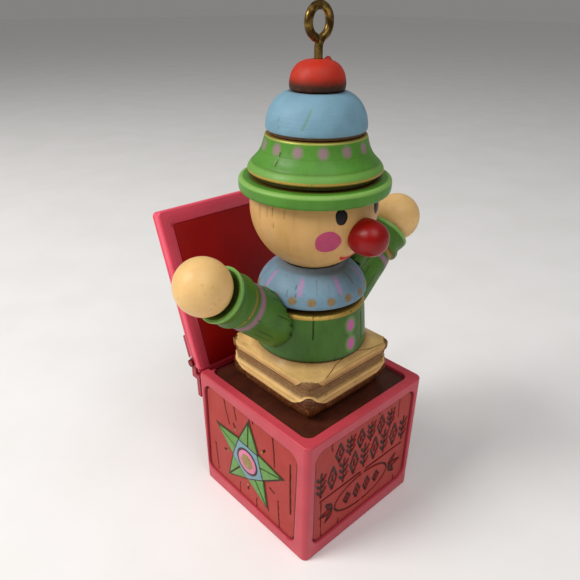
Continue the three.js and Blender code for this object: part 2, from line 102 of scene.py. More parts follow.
def soften(points, rounds=3):
    """Open outline with its corners cut round; a doubled point keeps its corner."""
    points = np.array(points, float)
    for _ in range(rounds):
        a, b = points[:-1], points[1:]
        cut = np.empty((2 * len(a), 2))
        cut[0::2] = 0.75 * a + 0.25 * b
        cut[1::2] = 0.25 * a + 0.75 * b
        points = np.vstack([points[:1], cut, points[-1:]])
    return points


def refine(points, step):
    """Outline with no stretch longer than step."""
    out = [points[0]]
    for a, b in zip(points, points[1:]):
        count = max(1, math.ceil(np.linalg.norm(b - a) / step))
        out += [a + (b - a) * k / count for k in range(1, count + 1)]
    return np.array(out)


def rounded_rectangle(x0, x1, y0, y1, radius, sides=10):
    """Counter-clockwise rectangle with round corners."""
    turns = np.linspace(0, math.pi / 2, sides + 1)
    corners = [(x1 - radius, y0 + radius, -90), (x1 - radius, y1 - radius, 0),
               (x0 + radius, y1 - radius, 90), (x0 + radius, y0 + radius, 180)]
    return np.array([
        (x + radius * math.cos(a + math.radians(start)), y + radius * math.sin(a + math.radians(start)))
        for x, y, start in corners for a in turns
    ])


def offset(outline, inset):
    """Counter-clockwise outline moved inward by inset."""
    back = outline - np.roll(outline, 1, axis=0)
    ahead = np.roll(outline, -1, axis=0) - outline
    back /= np.linalg.norm(back, axis=1)[:, None]
    ahead /= np.linalg.norm(ahead, axis=1)[:, None]
    normal = np.c_[-back[:, 1], back[:, 0]] + np.c_[-ahead[:, 1], ahead[:, 0]]
    return outline + inset * 2 * normal / (normal ** 2).sum(1)[:, None]


def circle(radius, sides):
    angles = np.arange(sides) * 2 * math.pi / sides
    return np.c_[radius * np.cos(angles), radius * np.sin(angles)]


def quarter(radius, start, way, steps=5):
    """Levels (height, inset) of a rounded edge: inset grows to radius as height goes by radius along way."""
    turns = np.linspace(0, math.pi / 2, steps + 1)
    return [(start + way * radius * math.sin(a), radius * (1 - math.cos(a))) for a in turns]


# ---- Meshes ----------------------------------------------------------------

def add_object(name, points, faces, layers=None, sharp=38):
    """Object from points in mm; layers are values at its points, which the materials read."""
    mesh = bpy.data.meshes.new(name)
    mesh.from_pydata((np.asarray(points) * MM).tolist(), [], faces)
    for key, values in (layers or {}).items():
        layer = mesh.attributes.new(key, "FLOAT", "POINT")
        layer.data.foreach_set("value", np.asarray(values, np.float32).ravel())
    work = bmesh.new()
    work.from_mesh(mesh)
    bmesh.ops.remove_doubles(work, verts=work.verts, dist=2e-7)
    bmesh.ops.recalc_face_normals(work, faces=work.faces)
    work.to_mesh(mesh)
    work.free()
    mesh.shade_smooth()
    mesh.set_sharp_from_angle(angle=math.radians(sharp))
    obj = bpy.data.objects.new(name, mesh)
    bpy.context.scene.collection.objects.link(obj)
    return obj


def finish_piece(obj, look, body, slot, *nodes):
    """Material, body and the CAD nodes that the piece stands for; slot is not used."""
    obj.data.materials.clear()
    obj.data.materials.append(look)
    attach(obj, body)
    if nodes:
        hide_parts(*nodes)
    return obj


def ring_faces(rings, sides, closed=False):
    """Quads of a grid that is closed round its rings, and from the last ring to the first if closed."""
    last = rings if closed else rings - 1
    return [
        (k * sides + i, k * sides + (i + 1) % sides,
         (k + 1) % rings * sides + (i + 1) % sides, (k + 1) % rings * sides + i)
        for k in range(last) for i in range(sides)
    ]


def carve(u, v, strokes, scale=1.0, period=None):
    """Depth in mm of the carved strokes at points (u, v). Each stroke is (points, width, depth)."""
    scale = np.broadcast_to(scale, u.shape)
    depth = np.zeros(u.shape)
    for points, width, deep in strokes:
        for (u0, v0), (u1, v1) in zip(points, points[1:]):
            du = u - u0
            if period:
                du = wrapped(du, period)
            x, y = du * scale, v - v0
            reach = width + abs(v1 - v0)
            near = (abs(y) < reach) & (abs(x) < width + abs(u1 - u0) * scale)
            if not near.any():
                continue
            x, y, ex = x[near], y[near], (u1 - u0) * scale[near]
            ey = v1 - v0
            t = np.clip((x * ex + y * ey) / (ex * ex + ey * ey + 1e-9), 0, 1)
            far = np.hypot(x - t * ex, y - t * ey)
            cut = deep * smooth((1 - far / (width / 2)) * 1.6)
            depth[near] = np.maximum(depth[near], cut)
    return depth


def lathe(outline, sides):
    """Grids of angle, radius, height and of the outward slope for an outline [[r, z], ...]."""
    theta = np.arange(sides) * 2 * math.pi / sides
    along = np.gradient(outline, axis=0)
    along /= np.linalg.norm(along, axis=1)[:, None] + 1e-12
    columns = (outline[:, 0], outline[:, 1], along[:, 1], -along[:, 0])
    return np.broadcast_arrays(theta, *(column[:, None] for column in columns))


def turned(name, profile, paint=None, bore=0.0, step=0.24, place=None):
    """Turned piece from [r, z] points, first to last going up its outside.

    paint(theta, r, z) gives layers of values, of which depth is how far the surface is cut in.
    With a bore the profile starts and ends on it, and its wall closes the piece.
    """
    outline = refine(soften(profile), step)
    sides = 4 * round(math.pi * outline[:, 0].max() / step / 2)
    theta, r, z, nr, nz = lathe(outline, sides)
    layers = paint(theta, r, z) if paint else {}
    depth = layers.pop("depth", 0)
    r, z = np.maximum(r - nr * depth, 0), z - nz * depth
    points = np.stack([r * np.sin(theta), -r * np.cos(theta), z], axis=-1).reshape(-1, 3)
    if place is not None:
        points = placed(points, place)
    return add_object(name, points, ring_faces(len(outline), sides, bore > 0), layers)


def lofted(outline, levels):
    """Points and faces of a solid: the outline at each (height, inset), closed at both ends."""
    count, rings = len(outline), len(levels)
    points = np.vstack([np.c_[offset(outline, inset), np.full(count, height)] for height, inset in levels])
    faces = ring_faces(rings, count)
    faces += [tuple(range(count))[::-1], tuple((rings - 1) * count + i for i in range(count))]
    return points, faces


def placed(points, place):
    return np.asarray(points) @ np.array(place.to_3x3()).T + np.array(place.translation)


def solid(name, parts, place=Matrix.Identity(4), sharp=38):
    """One object from several (points, faces) in the frame of place."""
    points, faces, start = [], [], 0
    for part_points, part_faces in parts:
        points.append(placed(part_points, place))
        faces += [tuple(i + start for i in face) for face in part_faces]
        start += len(part_points)
    return add_object(name, np.vstack(points), faces, sharp=sharp)


def apply_modifiers(obj):
    """The object keeps the mesh that its modifiers make."""
    bpy.context.view_layer.update()
    made = bpy.data.meshes.new_from_object(obj.evaluated_get(bpy.context.evaluated_depsgraph_get()))
    obj.modifiers.clear()
    obj.data = made


def cut_away(obj, cutters, how="DIFFERENCE"):
    """Takes each cutter out of obj, or adds it, then rounds its shading off so that flat faces stay flat."""
    for cutter in cutters:
        modifier = obj.modifiers.new("cut", "BOOLEAN")
        modifier.operation, modifier.solver, modifier.object = how, "EXACT", cutter
    apply_modifiers(obj)
    for cutter in cutters:
        bpy.data.objects.remove(cutter)
    flatten(obj)


def flatten(obj, sharp=38):
    """Smooth shading in which large flat faces stay flat."""
    obj.data.shade_smooth()
    obj.data.set_sharp_from_angle(angle=math.radians(sharp))
    modifier = obj.modifiers.new("flat faces", "WEIGHTED_NORMAL")
    modifier.keep_sharp = True
    apply_modifiers(obj)


def softened(node, width=0.12):
    """A CAD node's own mesh with its flats merged and its edges rounded."""
    obj = bpy.data.objects.new(node + "_smooth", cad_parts[node].data.copy())
    bpy.context.scene.collection.objects.link(obj)
    work = bmesh.new()
    work.from_mesh(obj.data)
    bmesh.ops.remove_doubles(work, verts=work.verts, dist=1e-6)
    bmesh.ops.dissolve_limit(work, angle_limit=math.radians(3), verts=work.verts, edges=work.edges)
    edges = [e for e in work.edges if e.is_manifold and e.calc_face_angle(0) > math.radians(50)]
    bmesh.ops.bevel(work, geom=edges, offset=width * MM, segments=2, profile=0.5, affect="EDGES",
                    clamp_overlap=True)
    work.to_mesh(obj.data)
    work.free()
    flatten(obj, 30)
    return obj


def tube(name, path, radius, sides=20):
    """Round wire along points in mm, with rounded ends."""
    path = np.asarray(path, float)
    along = np.gradient(path, axis=0)
    along /= np.linalg.norm(along, axis=1)[:, None]
    side = np.cross(along[0], (0.0, 1.0, 0.0) if abs(along[0][1]) < 0.9 else (1.0, 0.0, 0.0))
    turns = np.arange(sides) * 2 * math.pi / sides
    cap = radius * 0.5
    steps = [(share, math.sqrt(1 - share * share)) for share in (1.0, 0.92, 0.7, 0.38)]
    stops = [(path[0] - along[0] * cap * reach, along[0], share) for reach, share in steps]
    stops += [(point, ahead, 1.0) for point, ahead in zip(path, along)]
    stops += [(path[-1] + along[-1] * cap * reach, along[-1], share) for reach, share in reversed(steps)]
    rings = []
    for point, ahead, share in stops:
        side = side - ahead * side.dot(ahead)
        side /= np.linalg.norm(side)
        other = np.cross(ahead, side)
        rim = np.outer(np.cos(turns), side) + np.outer(np.sin(turns), other)
        rings.append(point + radius * share * rim)
    return add_object(name, np.vstack(rings), ring_faces(len(rings), sides), sharp=60)


# ---- Materials -------------------------------------------------------------

class Look:
    """Node material of one finish."""

    def __init__(self, name):
        self.material = bpy.data.materials.new(name)
        self.material.use_nodes = True
        self.tree = self.material.node_tree
        self.shader = self.tree.nodes["Principled BSDF"]
        self.place = self.node("ShaderNodeTexCoord").outputs["Object"]

    def node(self, kind, **settings):
        node = self.tree.nodes.new(kind)
        for key, value in settings.items():
            setattr(node, key, value)
        return node

    def feed(self, socket, value):
        if isinstance(value, bpy.types.NodeSocket):
            self.tree.links.new(value, socket)
        else:
            socket.default_value = value

    def noise(self, size, stretch=(1, 1, 1), detail=3.0, roughness=0.55):
        """Noise from 0 to 1 whose patches are about size mm, times stretch along each axis."""
        mapping = self.node("ShaderNodeMapping")
        self.feed(mapping.inputs["Vector"], self.place)
        mapping.inputs["Scale"].default_value = [1 / (MM * size * s) for s in stretch]
        noise = self.node("ShaderNodeTexNoise")
        self.feed(noise.inputs["Vector"], mapping.outputs["Vector"])
        for key, value in (("Scale", 1.0), ("Detail", detail), ("Roughness", roughness)):
            noise.inputs[key].default_value = value
        return noise.outputs["Fac"]

    def layer(self, name):
        return self.node("ShaderNodeAttribute", attribute_name=name).outputs["Fac"]

    def ramp(self, value, low, high, start=0.0, end=1.0):
        ramp = self.node("ShaderNodeMapRange", interpolation_type="SMOOTHSTEP")
        for key, number in (("From Min", low), ("From Max", high), ("To Min", start), ("To Max", end)):
            ramp.inputs[key].default_value = number
        self.feed(ramp.inputs["Value"], value)
        return ramp.outputs["Result"]

    def maths(self, operation, a, b):
        node = self.node("ShaderNodeMath", operation=operation)
        self.feed(node.inputs[0], a)
        self.feed(node.inputs[1], b)
        return node.outputs[0]

    def inside(self, low, high):
        """1 inside a box of the object, given by two corners in mm."""
        parts = self.node("ShaderNodeSeparateXYZ")
        self.feed(parts.inputs[0], self.place)
        share = 1.0
        for axis in range(3):
            above = self.maths("GREATER_THAN", parts.outputs[axis], low[axis] * MM)
            below = self.maths("LESS_THAN", parts.outputs[axis], high[axis] * MM)
            share = self.maths("MULTIPLY", share, self.maths("MULTIPLY", above, below))
        return share

    def mix(self, share, a, b):
        node = self.node("ShaderNodeMix", data_type="RGBA")
        self.feed(node.inputs["Factor"], share)
        self.feed(node.inputs[6], a)
        self.feed(node.inputs[7], b)
        return node.outputs[2]

    def bump(self, height, distance, strength=1.0):
        node = self.node("ShaderNodeBump")
        node.inputs["Distance"].default_value = distance * MM
        node.inputs["Strength"].default_value = strength
        self.feed(node.inputs["Height"], height)
        self.feed(self.shader.inputs["Normal"], node.outputs["Normal"])

    def done(self, colour, roughness, coat=0.0, metal=0.0, coat_roughness=0.15, specular=0.5):
        self.feed(self.shader.inputs["Base Color"], colour)
        self.feed(self.shader.inputs["Roughness"], roughness)
        self.feed(self.shader.inputs["Metallic"], metal)
        self.shader.inputs["Coat Weight"].default_value = coat
        self.shader.inputs["Coat Roughness"].default_value = coat_roughness
        self.shader.inputs["Specular IOR Level"].default_value = specular
        return self.material


PINK_PAINT = rgb(190, 100, 165)
GOLD_PAINT = rgb(196, 160, 78)
UMBER = rgb(58, 32, 12)


def painted(name, base, roughness=0.45, patch=5.0, change=0.1, grain=None, stain_and_shade=UMBER, light=None,
            accent=PINK_PAINT, coat=0.0, bump=0.02, fine=0.35, zone=None):
    """Paint that varies in patches, over grain, with painted and stained layers on top, some of them painted
    shade and highlights.

    zone is a box of the object, in mm, painted all over in the stain colour as painted shade.
    """
    look = Look(name)
    tone = look.ramp(look.noise(patch, detail=5), 0.3, 0.7)
    colour = look.mix(tone, shaded(base, 1 - change), shaded(base, 1 + change))
    texture = look.noise(fine, detail=4)
    height = texture
    if grain:
        size, stretch, share, tint = grain
        streaks = look.noise(size, stretch, detail=4, roughness=0.6)
        colour = look.mix(look.ramp(streaks, 0.5, 0.72, 0.0, share), colour, tint)
        height = look.maths("ADD", texture, look.maths("MULTIPLY", streaks, -1.6))
    dry = look.ramp(look.noise(0.8, detail=4), 0.25, 0.5, 0.8, 1.0)
    if light:
        colour = look.mix(look.maths("MULTIPLY", look.layer("light"), dry), colour, light)
    colour = look.mix(look.maths("MULTIPLY", look.layer("accent"), dry), colour, accent)
    colour = look.mix(look.maths("MULTIPLY", look.layer("stain_and_shade"), dry), colour, stain_and_shade)
    if zone:
        colour = look.mix(look.inside(*zone), colour, stain_and_shade)
    gold = look.maths("MULTIPLY", look.layer("gold"), look.ramp(look.noise(0.7, detail=5), 0.26, 0.46))
    colour = look.mix(gold, colour, GOLD_PAINT)
    look.bump(height, bump)
    shine = look.ramp(look.noise(patch * 0.6, detail=4), 0.2, 0.8, roughness - 0.06, roughness + 0.08)
    return look.done(colour, shine, coat, look.maths("MULTIPLY", gold, 0.6), specular=0.3)


def wire_look(name, bright, dark, roughness):
    look = Look(name)
    tarnish = look.ramp(look.noise(1.6, detail=6), 0.38, 0.62)
    colour = look.mix(tarnish, bright, dark)
    look.bump(look.noise(0.25, detail=3), 0.01)
    return look.done(colour, look.ramp(tarnish, 0, 1, roughness, roughness + 0.2), metal=1.0)


ALONG_Z = (1, 1, 14)
# Lit copy of the pink moulding: brighter than BOX_PINK as painted light on the lid, which faces the light
# more; the base plate uses it too.
LIT_PINK = painted("pink frame", rgb(234, 80, 104), 0.38, patch=6, change=0.05, stain_and_shade=rgb(120, 10, 25), coat=0.1,
               bump=0.012, fine=0.9)
# Darker copy of the pink for the box; its zone paints the rear rim's top deep red as painted shade from the
# lid.
BOX_PINK = painted("box pink", rgb(196, 66, 80), 0.38, patch=6, change=0.05, stain_and_shade=rgb(96, 4, 10), coat=0.1,
                   bump=0.012, fine=0.9, zone=((-15.4, 15.2, 31.2), (15.4, 17.6, 33)))
HINGE_PINK = painted("hinge pink", rgb(158, 50, 62), 0.42, patch=3, change=0.1, stain_and_shade=rgb(70, 16, 20),
                     bump=0.012, fine=0.9)
RED = painted("red panel", rgb(172, 40, 29), 0.42, patch=7, change=0.06, stain_and_shade=rgb(48, 10, 4), coat=0.05,
              grain=(0.7, ALONG_Z, 0.25, rgb(138, 28, 20)), bump=0.015)
DEEP_RED = painted("deep red field", rgb(156, 2, 6), 0.4, patch=8, change=0.1, bump=0.01)
DECK = painted("brown deck", rgb(72, 30, 15), 0.5, patch=4, change=0.25, coat=0.1,
               grain=(0.5, (14, 1, 1), 0.5, rgb(34, 16, 10)), bump=0.03)
CREAM = painted("cream bellows", rgb(232, 190, 120), 0.42, patch=3, change=0.08, stain_and_shade=rgb(88, 42, 6),
                light=rgb(166, 102, 44), grain=(0.35, (9, 9, 1), 0.35, rgb(176, 128, 74)), coat=0.1,
                bump=0.03)
HAND = painted("cream hand", rgb(236, 192, 126), 0.42, patch=3, change=0.05, stain_and_shade=rgb(206, 132, 74),
               coat=0.05, bump=0.012, fine=0.8)
FACE = painted("face wood", rgb(214, 168, 104), 0.45, patch=4, change=0.05, stain_and_shade=rgb(132, 80, 38),
               grain=(1.3, (1, 1, 11), 0.4, rgb(196, 138, 76)), coat=0.05, bump=0.012)
GREEN = painted("green paint", rgb(80, 138, 44), 0.45, patch=5, change=0.1, stain_and_shade=rgb(84, 58, 18),
                light=rgb(146, 190, 98), grain=(0.6, ALONG_Z, 0.3, rgb(62, 116, 34)), coat=0.05)
DRUM_GREEN = painted("drum green", rgb(62, 104, 26), 0.45, patch=4, change=0.12, stain_and_shade=rgb(44, 38, 12),
                     light=rgb(136, 176, 104), accent=rgb(196, 92, 160),
                     grain=(0.45, ALONG_Z, 0.45, rgb(44, 84, 24)), coat=0.1)
SLEEVE_GREEN = painted("sleeve green", rgb(68, 112, 30), 0.45, patch=4, change=0.12, stain_and_shade=rgb(46, 42, 14),
                       light=rgb(136, 190, 96), accent=rgb(188, 104, 164),
                       grain=(0.5, (9, 1, 1), 0.3, rgb(52, 98, 28)), coat=0.1)
BLUE = painted("blue paint", rgb(118, 157, 177), 0.55, patch=3.5, change=0.07, stain_and_shade=rgb(92, 60, 26),
               light=rgb(104, 142, 104), accent=rgb(200, 120, 178),
               grain=(0.5, (6, 6, 1), 0.3, rgb(116, 160, 172)))
COLLAR_BLUE = painted("collar blue", rgb(114, 144, 162), 0.55, patch=3, change=0.07, stain_and_shade=rgb(98, 66, 38),
                      accent=rgb(184, 116, 176), grain=(0.3, (1, 1, 4), 0.5, rgb(96, 124, 150)))
POMPOM = painted("pompom red", rgb(184, 42, 22), 0.5, patch=3, change=0.1, stain_and_shade=rgb(52, 26, 4))
NOSE = painted("nose red", rgb(142, 1, 2), 0.34, patch=3, change=0.06, coat=0.06, bump=0.006)
BLACK = painted("black paint", rgb(10, 7, 8), 0.4, patch=1, change=0.2, bump=0.008)
CHEEK = painted("cheek paint", rgb(188, 68, 108), 0.45, patch=1.5, change=0.06, bump=0.012)
LIPS = painted("lip paint", rgb(206, 46, 34), 0.4, patch=1, change=0.1, bump=0.012)
STAR_GREEN = painted("star green", rgb(100, 150, 74), 0.42, patch=1.5, change=0.12, bump=0.03)
STAR_BLUE = painted("star blue", rgb(118, 158, 170), 0.45, patch=1.5, change=0.08, bump=0.03)
STAR_PINK = painted("star pink", rgb(214, 124, 158), 0.4, patch=1, change=0.1, bump=0.03)
STAR_DARK = painted("star outline", rgb(62, 44, 16), 0.55, patch=1, change=0.3, bump=0.03)
STAR_PLUM = painted("star plum", rgb(66, 40, 50), 0.5, patch=0.8, change=0.3, bump=0.03)
OLD_GOLD = painted("old gold", rgb(150, 124, 64), 0.4, patch=0.5, change=0.4, bump=0.03, coat=0.2)
BRASS = wire_look("tarnished brass", rgb(150, 122, 62), rgb(72, 52, 26), 0.3)
PIN = wire_look("painted pin", rgb(150, 62, 60), rgb(96, 40, 34), 0.45)
STEEL = wire_look("drawn steel", rgb(176, 176, 172), rgb(120, 120, 118), 0.28)
BARE_WOOD = painted("bare wood", rgb(206, 168, 116), 0.6, patch=3, change=0.08,
                    grain=(0.5, ALONG_Z, 0.5, rgb(160, 118, 72)))


# ---- Box -------------------------------------------------------------------

BOX_HALF = span("box_shell", "x")[1]
BOX_TOP = span("box_shell", "z")[1]
BOX_CORNER, EDGE = 1.4, 0.4
CAVITY, CAVITY_CORNER = 28.4, 2.6
RIM, RIM_CORNER, RIM_DEPTH = 30.6, 1.8, 2.25
REBATE_FRONT, REBATE_FLOOR = 16.35, 30.5
PANEL_CORNER, PANEL_SUNK, PANEL_THICK, POCKET = 2.3, 0.5, 1.0, 1.6
GAP = 0.15

# Angle round from the front, centre (across, up) and size of each panel's outline, and its slight turn.
SIDES = {
    "front": (0, (0.2, 16.3), (30.8, 25.9), 0.0),
    "right": (90, (0.0, 16.05), (30.6, 25.5), 0.0),
    "rear": (180, (0.0, 15.4), (30.6, 24.2), 0.0),
    "left": (270, (-0.8, 15.9), (30.2, 25.7), -1.9),
}


def side_frame(side):
    """Matrix from a panel's own (across, up, outward) to the part; 0 is the middle of its pocket's mouth."""
    angle, (across, up), _, turn = SIDES[side]
    upright = Matrix(((1, 0, 0, across), (0, 0, -1, -BOX_HALF), (0, 1, 0, up), (0, 0, 0, 1)))
    round_box, tilt = (Matrix.Rotation(math.radians(a), 4, "Z") for a in (angle, turn))
    return round_box @ upright @ tilt


def rectangle_at_zero(width, height, corner):
    return rounded_rectangle(-width / 2, width / 2, -height / 2, height / 2, corner)


def square(width, corner):
    return rectangle_at_zero(width, width, corner)


def flared(depth, radius, inset=0.0):
    """Levels of a cutter that leaves a rounded mouth at height 0."""
    mouth = [(height - radius, -drop) for height, drop in quarter(radius, 0, 1)]
    return [(-depth, inset)] + mouth + [(radius, -radius)]


def slab(name, low, high, place=Matrix.Identity(4)):
    """Block between two corners of the frame of place."""
    outline = np.array([(low[0], low[1]), (high[0], low[1]), (high[0], high[1]), (low[0], high[1])])
    return solid(name, [lofted(outline, [(low[2], 0), (high[2], 0)])], place)


def box_frame():
    shape = lofted(square(2 * BOX_HALF, BOX_CORNER), [
        *[(EDGE - h, i) for h, i in reversed(quarter(EDGE, 0, 1))],
        *quarter(EDGE, BOX_TOP - EDGE, 1),
    ])
    obj = solid("box_frame", [shape])
    lift = Matrix.Translation((0, 0, BOX_TOP))
    cutters = [
        solid("cavity", [lofted(square(CAVITY, CAVITY_CORNER), [(-1, 0), (BOX_TOP + 1, 0)])]),
        solid("rim seat", [lofted(square(RIM, RIM_CORNER), flared(RIM_DEPTH, 0.3))], lift),
        slab("rebate", (-20, REBATE_FRONT, REBATE_FLOOR), (20, 20, BOX_TOP + 1)),
    ]
    for side, (_, _, (width, height), _) in SIDES.items():
        outline = rectangle_at_zero(width, height, PANEL_CORNER)
        cutters.append(solid(side + " pocket", [lofted(outline, flared(POCKET, 0.3))], side_frame(side)))
    cut_away(obj, cutters)
    return finish_piece(obj, BOX_PINK, "root", "pink_frame", "box_shell")


def round_cornered_grid(width, height, corner, step):
    """Grid of points over a rectangle whose corners are round, and each point's distance from its edge."""
    def stops(length):
        inner = max(2, round((length - 2 * corner) / step))
        rim = max(2, round(corner / step))
        middle = np.linspace(-length / 2 + corner, length / 2 - corner, inner + 1)
        zone = np.linspace(0, 1, rim + 1)[1:]
        return np.concatenate([-zone[::-1], middle, zone]), rim

    def split(values, length, rim):
        """Place along the straight middle, and share of the way through the corner zone."""
        middle, share = values.copy(), np.zeros(len(values))
        middle[:rim], middle[-rim:] = -length / 2 + corner, length / 2 - corner
        share[:rim], share[-rim:] = values[:rim], values[-rim:]
        return middle, share

    (us, rim_u), (vs, rim_v) = stops(width), stops(height)
    (mu, a), (mv, b) = split(us, width, rim_u), split(vs, height, rim_v)
    a, b = a[None, :], b[:, None]
    u = mu[None, :] + corner * a * np.sqrt(1 - b * b / 2)
    v = mv[:, None] + corner * b * np.sqrt(1 - a * a / 2)
    du, dv = np.abs(u) - (width / 2 - corner), np.abs(v) - (height / 2 - corner)
    outside = np.hypot(np.maximum(du, 0), np.maximum(dv, 0)) + np.minimum(np.maximum(du, dv), 0)
    return u, v, corner - outside


def carved_panel(name, width, height, corner, thickness, strokes, place, edge=0.35, step=0.14):
    """Panel whose face, at height 0 of place, is carved with strokes; it has a rounded edge."""
    u, v, margin = round_cornered_grid(width, height, corner, step)
    depth = carve(u, v, strokes)
    reach = np.clip(1 - margin / edge, 0, 1)
    drop = edge * (1 - np.sqrt(np.maximum(0, 1 - reach ** 2)))
    rows, columns = u.shape
    face = np.stack([u, v, -depth - drop], axis=-1).reshape(-1, 3)
    faces = [(j * columns + i, j * columns + i + 1, (j + 1) * columns + i + 1, (j + 1) * columns + i)
             for j in range(rows - 1) for i in range(columns - 1)]
    loop = list(range(columns - 1)) + [j * columns + columns - 1 for j in range(rows - 1)]
    loop += [(rows - 1) * columns + i for i in range(columns - 1, 0, -1)]
    loop += [j * columns for j in range(rows - 1, 0, -1)]
    back = face[loop].copy()
    back[:, 2] = -thickness
    base, count = len(face), len(loop)
    faces += [(loop[i], base + i, base + (i + 1) % count, loop[(i + 1) % count]) for i in range(count)]
    faces.append(tuple(base + i for i in range(count)))
    points = placed(np.vstack([face, back]), place)
    border = np.clip(1.6 - margin / 0.34, 0, 1)
    stain_and_shade = np.concatenate([np.clip(np.maximum(depth / 0.2, border), 0, 1).ravel(), np.ones(count)])
    return add_object(name, points, faces, {"stain_and_shade": stain_and_shade})


def crack(u0, v0, u1, v1, width=0.34, depth=0.28):
    """Slightly bent carved line."""
    middle = ((u0 + u1) / 2 + rng.uniform(-0.12, 0.12), (v0 + v1) / 2)
    return ([(u0, v0), middle, (u1, v1)], width, depth)


def arc_points(u, v, ru, rv, start, end, count=14):
    turns = np.radians(np.linspace(start, end, count))
    return [(u + ru * math.cos(a), v + rv * math.sin(a)) for a in turns]


def leaf(u, v, length, width, tilt, stroke=0.6):
    """Pointed leaf with a midrib, growing from (u, v) at an angle."""
    ca, sa = math.cos(math.radians(tilt)), math.sin(math.radians(tilt))

    def at(along, across):
        return (u + along * ca - across * sa, v + along * sa + across * ca)

    rib = [at(0, 0), at(length * 0.8, 0)]
    sides = [[at(length * t, side * width / 2 * math.sin(math.pi * t ** 0.8)) for t in np.linspace(0, 1, 9)]
             for side in (1, -1)]
    return [(rib, stroke * 0.7, 0.22)] + [(side, stroke, 0.3) for side in sides]


def lozenge(u, v, width, height, stroke=0.5):
    corners = [(u + width / 2 * across, v + height / 2 * up)
               for across, up in ((1, 0), (0, 1), (-1, 0), (0, -1), (1, 0))]
    seed = [(u, v - height * 0.12), (u, v + height * 0.12)]
    return [(corners, stroke, 0.32), (seed, 0.8, 0.32)]


def sprig(u, v, height, stroke=0.5):
    """Upright stem with three pairs of leaves."""
    strokes = [([(u, v - height / 2), (u, v + height / 2)], stroke, 0.32)]
    for k in range(3):
        foot = v - height / 2 + height * (0.12 + 0.27 * k)
        for side in (1, -1):
            leaf_points = [(u, foot), (u + side * 0.75, foot + 0.62), (u + side * 1.15, foot + 1.35)]
            strokes.append((leaf_points, stroke, 0.3))
    return strokes


def front_carving():
    """Two friezes of leaves and lozenges, a line, and a pointed medallion between sprigs."""
    strokes = []
    for k, u in enumerate(np.linspace(-8, 8, 6)):
        strokes += sprig(u, 8.6, 5.0, 0.72) if k % 2 else lozenge(u, 8.6, 2.3, 4.8, 0.8)
    for k, u in enumerate(np.linspace(-13.1, 13.1, 9)):
        strokes += lozenge(u, 2.95, 2.4, 6.0, 0.85) if k % 2 else sprig(u, 2.95, 6.4, 0.8)
    for side in (-1, 1):
        strokes.append(([(side * 0.9, -1.5), (side * 13.2, -1.55)], 0.62, 0.32))
        strokes.append((arc_points(0, -6.4, 8.6, 4.1, 90 - side * 4, 90 - side * 86), 0.62, 0.32))
        strokes.append((arc_points(0, -6.4, 8.6, 4.1, -90 + side * 2, -90 + side * 86), 0.6, 0.32))
        strokes += leaf(side * 9.2, -6.4, 4.0, 1.3, 0 if side > 0 else 180)
        strokes += leaf(side * 9.4, -6.0, 3.0, 1.1, 48 if side > 0 else 132)
        strokes += leaf(side * 9.4, -6.8, 3.0, 1.1, -48 if side > 0 else -132)
    for u in (-4.8, -1.6, 1.6, 4.8):
        strokes += lozenge(u, -6.4, 2.0, 4.0 if abs(u) < 3 else 3.0, 0.72)
    strokes += [crack(-10.4, 13, -10.3, 10.5), crack(10.6, 13, 10.8, 7.4), crack(-12.9, -2, -12.6, -12.9),
                crack(-7.3, -11, -7.2, -12.9), crack(11.7, -10.9, 11.9, -12.9), crack(3.9, 13, 3.8, 12.0)]
    return strokes


def star_side_carving():
    """Cracks round the star, and the small leaf cuts between its arms."""
    strokes = [
        crack(-8.6, 13, -6.8, 6.2, 0.36), crack(-5.1, 13, -4.3, 9.0, 0.36), crack(7.4, 12.6, 8.2, 4.6, 0.4),
        crack(12.8, 8.7, 13.4, -5.0, 0.55), crack(-12.4, -3.0, -11.6, -11.2), crack(9.5, -4.4, 10.2, -12.6),
        crack(-3.3, -9.0, -3.3, -12.9, 0.28), crack(2.5, -9.6, 2.6, -12.9, 0.28),
        crack(1.2, 13, 1.25, 11.6, 0.3),
    ]
    return strokes + [([star_point(7.6, turn), star_point(8.9, turn)], 0.7, 0.26) for turn in STAR_ACCENTS]


def plain_carving(seed):
    """Scattered cracks in from the top and bottom edges."""
    draw = np.random.default_rng(seed)
    strokes = []
    for u in np.linspace(-12.5, 12.5, 8):
        u = u + draw.uniform(-1, 1)
        length = draw.uniform(2.5, 9)
        start = 13.0 if draw.random() < 0.5 else -13.0
        end = (u + draw.uniform(-0.5, 0.5), start - math.copysign(length, start))
        strokes.append(([(u, start), end], 0.34, 0.28))
    return strokes


STAR_AT = (-0.25, -0.1)
STAR_TIP, STAR_INNER, STAR_TURN = 11.5, 5.5, -1.5
STAR_ACCENTS = [54 + 72 * k for k in range(5)]


def star_point(radius, turn):
    a = math.radians(turn + STAR_TURN)
    return np.array([STAR_AT[0] + radius * math.cos(a), STAR_AT[1] + radius * math.sin(a)])


def plate(outline, low, high, edge=0.08):
    """Thin relief with a rounded top edge."""
    levels = [(low, 0), (high - edge, 0), (high - edge * 0.3, edge * 0.3), (high, edge)]
    return lofted(np.asarray(outline, float), levels)


def disc(radius):
    return STAR_AT + circle(radius, 40)


